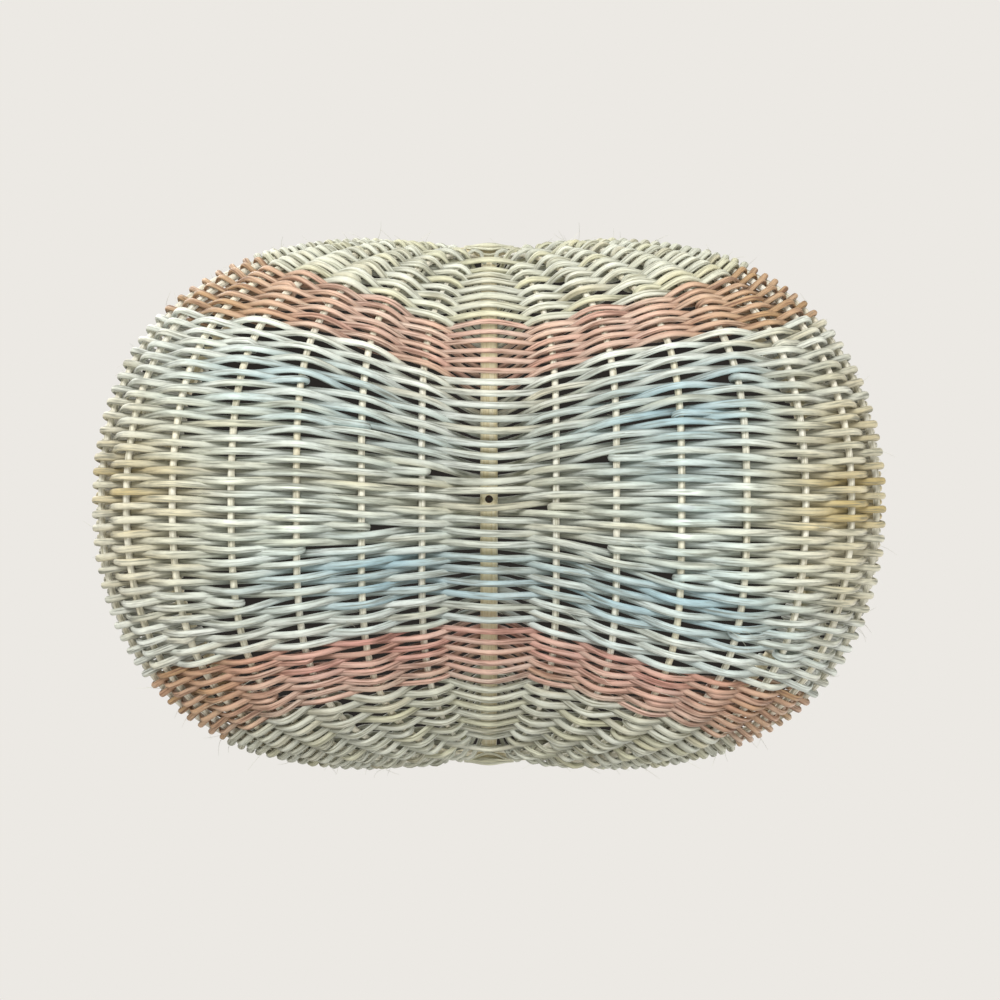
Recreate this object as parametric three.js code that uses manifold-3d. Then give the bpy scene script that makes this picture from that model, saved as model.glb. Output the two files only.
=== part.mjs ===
// Twin-lobed egg basket: reed woven over round ribs that run from ear to ear between two wooden hoops.
// Millimetres, +Z up. X runs from lobe to lobe and Y from ear to ear. The origin lies on the floor,
// under the middle of the basket.
import * as THREE from 'three';
import { mergeVertices } from 'three/addons/utils/BufferGeometryUtils.js';
import Module from 'manifold-3d';

const wasm = await Module();
wasm.setup();

// The two hoops: a round one that is both spine and handle, and a level oval one that is the rim
const hoopRadius = 96;
const hoopWidth = 5.8;
const hoopThickness = 4;
const rimAboveSpine = 72;
const rimReach = 124;
const rimHeight = 4.8;
const rimThickness = 3.8;

// The lobes, by the line that the ribs cross half-way between the ears. The arms are how far the ends of each
// stretch of that line pull on it, as a share of its width or height.
const lobeDrop = 24;
const lobeBottomReach = 66;
const lobeReach = 136;
const lobeReachBelowRim = 44;
const cleftSlope = 0.3;
const rimLean = 0.3;
const roundArm = 0.55;
const easyArm = 1 / 3;

// Ribs. The squareness is the power of the oval that a rib follows from ear to ear.
const ribsPerSide = 9;
const ribDiameter = 2.4;
const ribTipDiameter = 1.2;
const ribTaper = 45;
const innerSquareness = 2;
const rimSquareness = 2.5;

// Weavers: round reed, flattened a little where it is pulled tight
const weaverWidth = 2.1;
const weaverThickness = 1.8;
const firstRow = 21;

// Rows counted along the spine from one ear, in the order of the bands. Each band near an ear is woven with
// two lengths of reed, the middle one with more. The shares are where the natural and the pink band end,
// along the woven part of a rib.
const naturalRows = 12;
const pinkRows = 9;
const middleRows = 30;
const rowsOnMainRibs = 9;
const naturalShare = 0.187;
const pinkShare = 0.295;
const middleLengths = 5;

// Short rows turn back round these ribs, one pair of rows after each so many full rows
const turnRibs = [5, 4, 3, 2];
const rowsBetweenTurns = 4;

// Lashings over the crossings of the hoops, and the tacks
const earRadius = 13;
const earDepth = 15;
const earRoundness = 1.4;
const tackHeadDiameter = 2.6;
const tackHeadThickness = 0.4;
const tackDiameter = 1.2;
const spineTackLength = 3;
const crossingTackLength = 7.6;

// Clearance between pieces that touch, and how deep the feet of the lobes are worn flat
const fitGap = 0.3;
const footWear = 0.6;

// How finely round forms are cut
const hoopSteps = 40;
const hoopSides = 6;
const ribSteps = 14;
const ribSides = 4;
const rimSteps = 24;
const padSides = 12;
const weldDistance = 1e-4;

const rimColumn = ribsPerSide + 1;
const hoopCentreHeight = hoopRadius - rimAboveSpine;
const earAngle = Math.acos(hoopCentreHeight / hoopRadius);
const hoopAtRim = hoopRadius * Math.sin(earAngle);

// The flat faces of the hoops' sections, and the rim's place round the outside of the spine hoop at the ears
const flatShare = Math.cos(Math.PI / hoopSides);
const hoopFace = (hoopThickness / 2) * flatShare;
const rimFace = (rimThickness / 2) * flatShare;
const hoopOutside = Math.sqrt((hoopRadius + hoopFace) ** 2 - (hoopCentreHeight - rimHeight / 2) ** 2);
const rimHalfDepth = hoopOutside + fitGap + rimFace;

const hoopWood = { color: 0xcdb483, roughness: 0.6, metalness: 0 };
const ribReed = { color: 0xd9cba6, roughness: 0.75, metalness: 0 };
const naturalReed = { color: 0xc9bd97, roughness: 0.8, metalness: 0 };
const pinkReed = { color: 0xc98d74, roughness: 0.8, metalness: 0 };
const paleReed = { color: 0xb9bcae, roughness: 0.8, metalness: 0 };
const darkSteel = { color: 0x2b2724, roughness: 0.5, metalness: 0.8 };

const basket = new THREE.Group();

function addPiece(name, geometry, finish) {
  const piece = new THREE.Mesh(geometry, new THREE.MeshStandardMaterial(finish));
  piece.name = name;
  basket.add(piece);
  return piece;
}

// Joins rings of points into one closed skin, with flat ends or bent round on itself
function skin(rings, closed) {
  const sides = rings[0].length;
  const positions = rings.flat().flatMap((point) => point.toArray());
  const triangles = [];
  const bands = closed ? rings.length : rings.length - 1;
  for (let band = 0; band < bands; band += 1) {
    for (let side = 0; side < sides; side += 1) {
      const next = (side + 1) % sides;
      const near = band * sides;
      const far = ((band + 1) % rings.length) * sides;
      triangles.push(near + side, near + next, far + next, near + side, far + next, far + side);
    }
  }
  const last = (rings.length - 1) * sides;
  for (let side = 1; side < sides - 1 && !closed; side += 1) {
    triangles.push(0, side + 1, side, last, last + side, last + side + 1);
  }
  const geometry = new THREE.BufferGeometry();
  geometry.setAttribute('position', new THREE.Float32BufferAttribute(positions, 3));
  geometry.setIndex(triangles);
  geometry.computeVertexNormals();
  return geometry;
}

// One ring of a section: across and out are unit vectors, the halves its two half sizes
function ring(centre, across, out, halfAcross, halfOut, sides) {
  return Array.from({ length: sides }, (_, side) => {
    const angle = (side / sides) * 2 * Math.PI;
    return centre.clone()
      .addScaledVector(across, halfAcross * Math.cos(angle))
      .addScaledVector(out, halfOut * Math.sin(angle));
  });
}

function toSolid(geometry) {
  const bare = geometry.clone();
  bare.deleteAttribute('normal');
  bare.deleteAttribute('uv');
  const welded = mergeVertices(bare, weldDistance);
  const corners = welded.index.array;
  const triangles = [];
  for (let first = 0; first < corners.length; first += 3) {
    const [a, b, c] = corners.slice(first, first + 3);
    if (a !== b && b !== c && c !== a) {
      triangles.push(a, b, c);
    }
  }
  return new wasm.Manifold(new wasm.Mesh({
    numProp: 3,
    vertProperties: new Float32Array(welded.attributes.position.array),
    triVerts: new Uint32Array(triangles),
  }));
}

function toGeometry(solid) {
  const mesh = solid.getMesh();
  const geometry = new THREE.BufferGeometry();
  geometry.setAttribute('position', new THREE.Float32BufferAttribute(mesh.vertProperties, 3));
  geometry.setIndex(new THREE.Uint32BufferAttribute(mesh.triVerts, 1));
  geometry.computeVertexNormals();
  return geometry;
}

// Half of the middle cross-section, from the spine round the lobe to the rim, seen from the rim's level
const middleLine = new THREE.CurvePath();
const lobeBottom = new THREE.Vector2(lobeBottomReach, -rimAboveSpine - lobeDrop);
const lobeSide = new THREE.Vector2(lobeReach, -lobeReachBelowRim);
const spineBottom = new THREE.Vector2(0, -rimAboveSpine);
const rimSide = new THREE.Vector2(rimReach, 0);
const flankArm = lobeReachBelowRim * easyArm;
const cleftArm = lobeBottomReach * easyArm;
middleLine.add(new THREE.CubicBezierCurve(
  spineBottom,
  new THREE.Vector2(cleftArm, spineBottom.y - cleftArm * cleftSlope),
  new THREE.Vector2(lobeBottom.x - cleftArm, lobeBottom.y),
  lobeBottom,
));
middleLine.add(new THREE.CubicBezierCurve(
  lobeBottom,
  new THREE.Vector2(lobeBottom.x + roundArm * (lobeSide.x - lobeBottom.x), lobeBottom.y),
  new THREE.Vector2(lobeSide.x, lobeSide.y + roundArm * (lobeBottom.y - lobeSide.y)),
  lobeSide,
));
middleLine.add(new THREE.CubicBezierCurve(
  lobeSide,
  new THREE.Vector2(lobeSide.x, lobeSide.y + flankArm),
  new THREE.Vector2(rimSide.x + flankArm * rimLean, rimSide.y - flankArm),
  rimSide,
));

// The members that the reed is woven on are numbered as columns: 0 is the spine, the ribs count outwards
// from it, and the last is the rim. Columns of the left lobe are negative. Heights count from the rim's
// level. Each column is a chain of straight lengths, the same that its solid is made of.
function hoopPoint(angle) {
  return new THREE.Vector3(
    0,
    hoopRadius * Math.sin(angle),
    hoopCentreHeight - hoopRadius * Math.cos(angle),
  );
}

// The ribs share out the clear width between the edges of the two hoops
function middleShare(column) {
  const width = middleLine.getLength();
  const clear = width - hoopWidth / 2 - rimHeight / 2;
  const place = hoopWidth / 2 + (Math.abs(column) / rimColumn) * clear;
  return Math.abs(column) === rimColumn ? 1 : place / width;
}

function ovalPoints(column, steps) {
  const share = middleShare(column);
  const middle = middleLine.getPoint(share);
  const power = 2 / THREE.MathUtils.lerp(innerSquareness, rimSquareness, share);
  const halfDepth = THREE.MathUtils.lerp(hoopAtRim, rimHalfDepth, share);
  return Array.from({ length: steps + 1 }, (_, step) => {
    const angle = (Math.PI * step) / steps;
    const along = -Math.sign(Math.cos(angle)) * Math.abs(Math.cos(angle)) ** power;
    const reach = Math.abs(Math.sin(angle)) ** power;
    return new THREE.Vector3(Math.sign(column) * middle.x * reach, halfDepth * along, middle.y * reach);
  });
}

function columnPoints(column) {
  if (column === 0) {
    const lowerSteps = Math.floor((earAngle / (2 * Math.PI)) * hoopSteps);
    const angles = Array.from({ length: 2 * lowerSteps + 1 }, (_, step) => (
      ((step - lowerSteps) * 2 * Math.PI) / hoopSteps
    ));
    return [-earAngle, ...angles, earAngle].map(hoopPoint);
  }
  const steps = Math.abs(column) === rimColumn ? rimSteps : ribSteps;
  return ovalPoints(column, steps);
}

const bandRows = [naturalRows, pinkRows, middleRows, pinkRows, naturalRows];
const bandEdges = [0, naturalShare, pinkShare, 1 - pinkShare, 1 - naturalShare, 1];
const columns = new Map();
for (let column = -rimColumn; column <= rimColumn; column += 1) {
  const points = columnPoints(column);
  const curve = new THREE.CurvePath();
  points.slice(1).forEach((point, index) => curve.add(new THREE.LineCurve3(points[index], point)));
  const corners = curve.getCurveLengths();
  const rows = bandRows.map(() => 0);
  columns.set(column, { curve, points, corners, length: curve.getLength(), rows });
}

function bandOf(row) {
  let left = row;
  return bandRows.findIndex((rows) => {
    left -= rows;
    return left < 0;
  });
}

// How far along a column a row of a band crosses it
function rowPlace(column, band, rank) {
  const { length, rows } = columns.get(column);
  const share = THREE.MathUtils.lerp(bandEdges[band], bandEdges[band + 1], (rank + 0.5) / rows[band]);
  return firstRow + share * (length - 2 * firstRow);
}

// Main ribs run right up to the ears. The ribs between them start beside the last row that leaves them out.
function isMainRib(column) {
  return Math.abs(column) % 2 === 0;
}

function ribStart(column) {
  return isMainRib(column) ? earRadius + fitGap : rowPlace(column, 0, rowsOnMainRibs - 0.5);
}

function ribRadius(column, place) {
  const { length } = columns.get(column);
  const fromTip = Math.min(place, length - place) - ribStart(column);
  const share = THREE.MathUtils.clamp(fromTip / ribTaper, 0, 1);
  return THREE.MathUtils.lerp(ribTipDiameter, ribDiameter, share) / 2;
}

// Passes of the weaver from rim to rim, with the short rows put in after the full row that ends at their side
const fullRows = 2 * (naturalRows + pinkRows) + middleRows;
const shortRowAfter = new Map();
turnRibs.forEach((rib, step) => {
  const rightRow = 2 * Math.round((naturalRows + pinkRows + step * rowsBetweenTurns) / 2);
  for (const [row, turn] of [[rightRow, rib], [rightRow + 1, -rib]]) {
    shortRowAfter.set(row, turn);
    shortRowAfter.set(fullRows - 2 - row, turn);
  }
});

const passes = [];
let passSign = 1;
function addPass(row, from, to) {
  const step = Math.sign(to - from);
  const nearEar = Math.min(row, fullRows - 1 - row) < rowsOnMainRibs;
  const band = bandOf(row);
  const crossings = [];
  let sign = passSign;
  for (let column = from; column !== to + step; column += step) {
    const rank = columns.get(column).rows[band];
    columns.get(column).rows[band] += 1;
    if (!nearEar || isMainRib(column) || Math.abs(column) === rimColumn) {
      crossings.push({ column, band, rank, sign });
      sign = -sign;
    }
  }
  passSign = sign;
  passes.push({ row, crossings });
}
for (let row = 0; row < fullRows; row += 1) {
  const side = row % 2 === 0 ? 1 : -1;
  addPass(row, -side * rimColumn, side * rimColumn);
  if (shortRowAfter.has(row)) {
    const turn = shortRowAfter.get(row);
    addPass(row, side * rimColumn, turn);
    addPass(row, turn, side * rimColumn);
  }
}

// Half sizes of the path that a weaver takes round a member, to the middle of the weaver
function wrapSize(column, place) {
  const cover = fitGap + weaverThickness / 2;
  if (column === 0) {
    return { along: hoopWidth / 2 + cover, out: hoopThickness / 2 + cover };
  }
  if (Math.abs(column) === rimColumn) {
    return { along: rimHeight / 2 + cover, out: rimThickness / 2 + cover };
  }
  const radius = ribRadius(column, place) + cover;
  return { along: radius, out: radius };
}

// Finds where each crossing of a pass lies, and how far the reed stands off the member's middle there
const cornerReach = 1 / Math.cos(Math.PI / 6);
function layPass(pass) {
  const places = pass.crossings.map(({ column, band, rank, sign }) => {
    const { curve, length } = columns.get(column);
    const place = rowPlace(column, band, rank);
    const share = place / length;
    const size = wrapSize(column, place);
    return { base: curve.getPoint(share), along: curve.getTangent(share), size, sign };
  });
  const rightward = Math.sign(pass.crossings.at(-1).column - pass.crossings[0].column);
  const last = places.length - 1;
  places.forEach((place, index) => {
    const before = places[Math.max(index - 1, 0)].base;
    const after = places[Math.min(index + 1, last)].base;
    const course = after.clone().sub(before).multiplyScalar(rightward);
    place.out = place.along.clone().cross(course).normalize();
    place.right = place.out.clone().cross(place.along).normalize();
    place.standOff = place.size.out * (index === 0 || index === last ? cornerReach : 1);
  });
  const settleRounds = 4;
  for (let round = 0; round < settleRounds; round += 1) {
    places.forEach((place, index) => settle(place, [places[index - 1], places[index + 1]].filter(Boolean)));
  }
  return places;
}

function reedPoint(place) {
  return place.base.clone().addScaledVector(place.out, place.sign * place.standOff);
}

// Lifts the reed until it clears the member, and until it runs straight where it spans the cleft
function settle(place, neighbours) {
  const spans = neighbours.map((neighbour) => {
    const offset = reedPoint(neighbour).sub(place.base);
    return { height: place.sign * offset.dot(place.out), run: Math.abs(offset.dot(place.right)) };
  });
  for (const { height, run } of spans) {
    const rise = Math.max(place.standOff - height, 0) / run;
    place.standOff = Math.max(place.standOff, Math.hypot(place.size.out, rise * place.size.along));
  }
  if (spans.length === 2) {
    const [before, after] = spans;
    const taut = (before.height * after.run + after.height * before.run) / (before.run + after.run);
    place.standOff = Math.max(place.standOff, taut);
  }
}

// The path of one length of reed: each stop has a point and the way along the rib there
function weaverPath(strandPasses) {
  const stops = [];
  strandPasses.forEach((pass, index) => {
    const places = layPass(pass);
    if (index > 0) {
      stops.push(...turnStops(strandPasses[index - 1], pass, places[0]));
    }
    places.forEach((place) => stops.push({ point: reedPoint(place), along: place.along }));
  });
  return stops;
}

// Two stops that carry the reed round the far side of the rim or of a turning rib
function turnStops(before, pass, place) {
  const { column, sign } = pass.crossings[0];
  const { curve, length } = columns.get(column);
  const rows = [before.crossings.at(-1), pass.crossings[0]];
  const ends = rows.map(({ band, rank }) => rowPlace(column, band, rank));
  const farSide = Math.abs(column) === rimColumn ? Math.sign(column) : -Math.sign(column);
  return [1 / 3, 2 / 3].map((share, index) => {
    const turnPlace = THREE.MathUtils.lerp(ends[0], ends[1], share);
    const lean = (index === 0 ? -sign : sign) * (cornerReach / 2) * place.size.out;
    const point = curve.getPoint(turnPlace / length)
      .addScaledVector(place.right, farSide * place.size.along)
      .addScaledVector(place.out, lean);
    return { point, along: place.along };
  });
}

// Sweeps a three-sided reed along its stops, mitred at every bend
function weaverGeometry(stops) {
  const corners = [[0, 0.5], [0.5, -0.5], [-0.5, -0.5]];
  const rings = stops.map(({ point, along }, index) => {
    const before = stops[Math.max(index - 1, 0)].point;
    const after = stops[Math.min(index + 1, stops.length - 1)].point;
    const arriving = point.clone().sub(before).normalize();
    const leaving = after.clone().sub(point).normalize();
    const course = arriving.clone().add(leaving).normalize();
    const mitre = Math.max(course.dot(leaving), course.dot(arriving));
    const across = along.clone().addScaledVector(course, -along.dot(course)).normalize();
    const up = across.clone().cross(course);
    return corners.map(([side, height]) => point.clone()
      .addScaledVector(across, side * weaverWidth)
      .addScaledVector(up, (height * weaverThickness) / mitre));
  });
  return skin(rings, false);
}

// Lengths of reed, in order from the front ear to the back one
const strands = [
  { name: 'natural_weaver_front_1', rows: naturalRows / 2, finish: naturalReed },
  { name: 'natural_weaver_front_2', rows: naturalRows / 2, finish: naturalReed },
  { name: 'pink_weaver_front_1', rows: Math.ceil(pinkRows / 2), finish: pinkReed },
  { name: 'pink_weaver_front_2', rows: Math.floor(pinkRows / 2), finish: pinkReed },
  ...Array.from({ length: middleLengths }, (_, index) => (
    { name: `middle_weaver_${index + 1}`, rows: middleRows / middleLengths, finish: paleReed }
  )),
  { name: 'pink_weaver_back_1', rows: Math.floor(pinkRows / 2), finish: pinkReed },
  { name: 'pink_weaver_back_2', rows: Math.ceil(pinkRows / 2), finish: pinkReed },
  { name: 'natural_weaver_back_1', rows: naturalRows / 2, finish: naturalReed },
  { name: 'natural_weaver_back_2', rows: naturalRows / 2, finish: naturalReed },
];
let rowsLaid = 0;
const weavers = strands.map(({ name, rows, finish }) => {
  const own = passes.filter(({ row }) => row >= rowsLaid && row < rowsLaid + rows);
  rowsLaid += rows;
  return addPiece(name, weaverGeometry(weaverPath(own)), finish);
});

// Round ribs, thinned at both ends
function ribGeometry(column) {
  const { curve, corners, length } = columns.get(column);
  const start = ribStart(column);
  const end = length - start;
  const inner = corners.filter((place) => place > start + ribDiameter && place < end - ribDiameter);
  const rings = [start, ...inner, end].map((place) => {
    const centre = curve.getPoint(place / length);
    const along = curve.getTangent(place / length);
    const across = new THREE.Vector3(0, 1, 0).cross(centre.clone().setY(0)).normalize();
    const radius = ribRadius(column, place);
    return ring(centre, across, along.clone().cross(across), radius, radius, ribSides);
  });
  return skin(rings, false);
}
for (let rib = 1; rib <= ribsPerSide; rib += 1) {
  addPiece(`rib_left_${rib}`, ribGeometry(-rib), ribReed);
  addPiece(`rib_right_${rib}`, ribGeometry(rib), ribReed);
}

// The round hoop, and the oval rim that lies round it at the ears. Grown ones cut their seats.
function hoopGeometry(grow) {
  const rings = Array.from({ length: hoopSteps }, (_, step) => {
    const angle = (2 * Math.PI * step) / hoopSteps;
    const out = new THREE.Vector3(0, Math.sin(angle), -Math.cos(angle));
    const across = new THREE.Vector3(1, 0, 0);
    return ring(hoopPoint(angle), across, out, hoopWidth / 2 + grow, hoopThickness / 2 + grow, hoopSides);
  });
  return skin(rings, true);
}

const up = new THREE.Vector3(0, 0, 1);
const rightRim = columns.get(rimColumn).points.slice(0, -1);
const leftRim = columns.get(-rimColumn).points.toReversed().slice(0, -1);
const rimPoints = [...rightRim, ...leftRim];
function rimGeometry(grow) {
  const rings = rimPoints.map((centre, index) => {
    const before = rimPoints.at(index - 1);
    const after = rimPoints[(index + 1) % rimPoints.length];
    const out = after.clone().sub(before).cross(up).normalize();
    return ring(centre, up, out, rimHeight / 2 + grow, rimThickness / 2 + grow, hoopSides);
  });
  return skin(rings, true);
}

// A tack as a turned profile, its head's top at the origin and its point down the Z axis
function tackGeometry(length, grow) {
  const headRadius = tackHeadDiameter / 2 + grow;
  const radius = tackDiameter / 2 + grow;
  const profile = [
    [0, -length - grow], [radius, -length - grow], [radius, -tackHeadThickness - grow],
    [headRadius, -tackHeadThickness - grow], [headRadius, grow], [0, grow],
  ];
  const points = profile.map(([across, height]) => new THREE.Vector2(across, height));
  return new THREE.LatheGeometry(points, hoopSides).rotateX(Math.PI / 2);
}

// Each tack by the top of its head and the way that it points
const crossingHead = rimHalfDepth + rimFace + fitGap + tackHeadThickness;
const innerRows = passes.flatMap(({ crossings }) => crossings)
  .filter(({ column, sign }) => column === 0 && sign < 0)
  .map(({ band, rank }) => rowPlace(0, band, rank));
const spine = columns.get(0);
const middlePlace = spine.length / 2;
const tackPlace = innerRows.reduce((best, place) => (
  Math.abs(place - middlePlace) < Math.abs(best - middlePlace) ? place : best
));
const spineOut = spine.curve.getTangent(tackPlace / spine.length).cross(new THREE.Vector3(1, 0, 0));
const spineHead = spine.curve.getPoint(tackPlace / spine.length)
  .addScaledVector(spineOut, hoopFace + fitGap + tackHeadThickness);
const tacks = [
  { name: 'spine_nail', head: spineHead, point: spineOut.clone().negate(), length: spineTackLength },
  {
    name: 'front_hoop_nail',
    head: new THREE.Vector3(0, -crossingHead, 0),
    point: new THREE.Vector3(0, 1, 0),
    length: crossingTackLength,
  },
  {
    name: 'back_hoop_nail',
    head: new THREE.Vector3(0, crossingHead, 0),
    point: new THREE.Vector3(0, -1, 0),
    length: crossingTackLength,
  },
];
const down = new THREE.Vector3(0, 0, -1);
const tackHoles = tacks.map(({ name, head, point, length }) => {
  const tack = addPiece(name, tackGeometry(length, 0), darkSteel);
  tack.position.copy(head);
  tack.quaternion.setFromUnitVectors(down, point);
  tack.updateMatrix();
  return toSolid(tackGeometry(length, fitGap).applyMatrix4(tack.matrix));
});

function bored(geometry) {
  const solid = tackHoles.reduce((left, hole) => left.subtract(hole), toSolid(geometry));
  return toGeometry(solid);
}
addPiece('handle_hoop', bored(hoopGeometry(0)), hoopWood);
addPiece('rim_hoop', bored(rimGeometry(0)), hoopWood);

// Lashings: four-cornered pads round the crossings, with seats for both hoops and the tack
const hoopSeat = toSolid(hoopGeometry(fitGap));
const rimSeat = toSolid(rimGeometry(fitGap));
function earGeometry(side) {
  const pad = new THREE.SphereGeometry(1, padSides, padSides / 2);
  const places = pad.attributes.position;
  for (let index = 0; index < places.count; index += 1) {
    const [x, y, z] = [places.getX(index), places.getY(index), places.getZ(index)];
    const reach = Math.hypot(x, z);
    const spread = (Math.abs(x) ** earRoundness + Math.abs(z) ** earRoundness) ** (1 / earRoundness);
    const corner = spread > 0 ? (earRadius * reach) / spread : 0;
    places.setXYZ(index, x * corner, (y * earDepth) / 2, z * corner);
  }
  pad.translate(0, (side * (hoopAtRim + rimHalfDepth)) / 2, 0);
  const solid = toSolid(pad).subtract(hoopSeat).subtract(rimSeat);
  return toGeometry(tackHoles.reduce((left, hole) => left.subtract(hole), solid));
}
addPiece('front_ear_lashing', earGeometry(-1), naturalReed);
addPiece('back_ear_lashing', earGeometry(1), naturalReed);

// The lobes stand on the reeds that reach lowest, which are worn flat there
const lowest = Math.min(...weavers.map(({ geometry }) => {
  geometry.computeBoundingBox();
  return geometry.boundingBox.min.z;
}));
const floorLevel = lowest + footWear;
const wornAway = toSolid(new THREE.BoxGeometry(4 * lobeReach, 4 * hoopRadius, 2 * footWear)
  .translate(0, 0, floorLevel - footWear));
for (const weaver of weavers) {
  if (weaver.geometry.boundingBox.min.z < floorLevel) {
    weaver.geometry = toGeometry(toSolid(weaver.geometry).subtract(wornAway));
  }
}
basket.position.z = -floorLevel;

export default basket;
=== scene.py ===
# %% [markdown]
# # A twin-lobed egg basket
# The basket is woven from round reed over ribs that run from ear to ear between two wooden hoops. The
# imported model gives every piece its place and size. This lesson weaves the basket again with smooth, dyed
# reed. Loading comes first, because each later step reads its place from the loaded frame.

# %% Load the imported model
import math

import bpy
import numpy as np
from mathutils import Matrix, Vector


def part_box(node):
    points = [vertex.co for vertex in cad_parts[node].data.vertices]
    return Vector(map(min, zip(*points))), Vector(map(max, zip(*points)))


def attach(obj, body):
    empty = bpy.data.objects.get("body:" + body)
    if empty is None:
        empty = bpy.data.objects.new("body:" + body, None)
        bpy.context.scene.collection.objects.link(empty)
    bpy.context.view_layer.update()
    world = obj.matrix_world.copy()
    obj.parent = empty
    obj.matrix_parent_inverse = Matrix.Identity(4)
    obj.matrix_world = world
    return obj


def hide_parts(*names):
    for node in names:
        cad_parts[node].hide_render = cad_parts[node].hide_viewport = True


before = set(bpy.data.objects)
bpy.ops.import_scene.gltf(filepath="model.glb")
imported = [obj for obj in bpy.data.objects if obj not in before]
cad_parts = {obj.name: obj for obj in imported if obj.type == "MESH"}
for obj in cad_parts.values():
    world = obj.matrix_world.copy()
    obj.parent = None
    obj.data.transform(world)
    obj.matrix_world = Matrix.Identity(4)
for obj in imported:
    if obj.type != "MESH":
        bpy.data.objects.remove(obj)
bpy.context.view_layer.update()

# %% [markdown]
# ## Sizes of the frame
# These are the sizes of the real basket in millimetres: an eight inch hoop that is spine and handle, an
# oval rim, and two lobes that hang below the spine. Heights count from the level of the rim, which is read
# from the frame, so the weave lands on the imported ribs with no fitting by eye.

# %% Sizes in millimetres
MM = 0.001
HOOP_RADIUS, HOOP_WIDTH, HOOP_THICKNESS = 96.0, 5.8, 4.0
RIM_ABOVE_SPINE, RIM_REACH, RIM_HEIGHT, RIM_THICKNESS = 72.0, 124.0, 4.8, 3.8
LOBE_DROP, LOBE_BOTTOM_REACH, LOBE_REACH, LOBE_REACH_BELOW_RIM = 24.0, 66.0, 136.0, 44.0
CLEFT_SLOPE, RIM_LEAN, ROUND_ARM, EASY_ARM = 0.3, 0.3, 0.55, 1 / 3
INNER_SQUARENESS, RIM_SQUARENESS = 2.0, 2.5
CORNER_FULLNESS, FLANK_SLIMNESS, RIB_BOW = 1.1, 0.25, 0.026
LOBE_SCALE, BOW_SCALE = 6.75, 8.0   # bring the two humps in the rule for the ribs up to about one
RIBS_PER_SIDE = 9
RIM_COLUMN = RIBS_PER_SIDE + 1
HOOP_CENTRE = HOOP_RADIUS - RIM_ABOVE_SPINE
FIT_GAP = 0.3

rim_low, rim_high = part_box("rim_hoop")
RIM_LEVEL = (rim_low.z + rim_high.z) / 2 / MM
FLAT_SHARE = math.cos(math.pi / 6)
hoop_outside = HOOP_RADIUS + HOOP_THICKNESS / 2 * FLAT_SHARE
rim_inside = math.sqrt(hoop_outside ** 2 - (HOOP_CENTRE - RIM_HEIGHT / 2) ** 2) + FIT_GAP
RIM_HALF_DEPTH = rim_inside + RIM_THICKNESS / 2 * FLAT_SHARE
EAR_ANGLE = math.acos(HOOP_CENTRE / HOOP_RADIUS)
HOOP_AT_RIM = HOOP_RADIUS * math.sin(EAR_ANGLE)
print("rim level", round(RIM_LEVEL, 2), "mm, half depth", round(RIM_HALF_DEPTH, 2), "mm")

# %% [markdown]
# ## The lines that the reed is woven on
# A weaver needs something stiff to pass over and under: the spine, nine ribs on each side, and the rim.
# They are numbered as columns, 0 for the spine and 10 for the rim, negative on the left. Each rib is an
# oval from ear to ear that is squarer the nearer it lies to the rim. Two thirds of the way out to the rim
# the ovals are fullest next to the ears, and one third of the way out the ribs bow outwards between the
# ears and the middle. A curve object could be drawn for each, but a rule in numbers keeps all of them in
# step and lets the weave ask for any point on them.


# %% Columns
def bezier(points, count=160):
    share = np.linspace(0, 1, count)[:, None]
    a, b, c, d = (np.array(point) for point in points)
    rest = 1 - share
    return rest ** 3 * a + 3 * rest ** 2 * share * b + 3 * rest * share ** 2 * c + share ** 3 * d


def measured(points):
    steps = np.linalg.norm(np.diff(points, axis=0), axis=1)
    return {"points": points, "reach": np.concatenate([[0.0], np.cumsum(steps)])}


def point_at(line, place):
    return np.array([np.interp(place, line["reach"], line["points"][:, axis])
                     for axis in range(line["points"].shape[1])]).T


def direction_at(line, place, step=0.4):
    way = point_at(line, place + step) - point_at(line, place - step)
    return way / np.linalg.norm(way)


low = -RIM_ABOVE_SPINE - LOBE_DROP
cleft_arm, flank_arm = LOBE_BOTTOM_REACH * EASY_ARM, LOBE_REACH_BELOW_RIM * EASY_ARM
round_reach, round_drop = LOBE_REACH - LOBE_BOTTOM_REACH, low + LOBE_REACH_BELOW_RIM
middle_line = measured(np.concatenate([
    bezier([(0, -RIM_ABOVE_SPINE), (cleft_arm, -RIM_ABOVE_SPINE - cleft_arm * CLEFT_SLOPE),
            (LOBE_BOTTOM_REACH - cleft_arm, low), (LOBE_BOTTOM_REACH, low)]),
    bezier([(LOBE_BOTTOM_REACH, low), (LOBE_BOTTOM_REACH + ROUND_ARM * round_reach, low),
            (LOBE_REACH, -LOBE_REACH_BELOW_RIM + ROUND_ARM * round_drop),
            (LOBE_REACH, -LOBE_REACH_BELOW_RIM)])[1:],
    bezier([(LOBE_REACH, -LOBE_REACH_BELOW_RIM), (LOBE_REACH, -LOBE_REACH_BELOW_RIM + flank_arm),
            (RIM_REACH + flank_arm * RIM_LEAN, -flank_arm), (RIM_REACH, 0)])[1:],
]))


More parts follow.
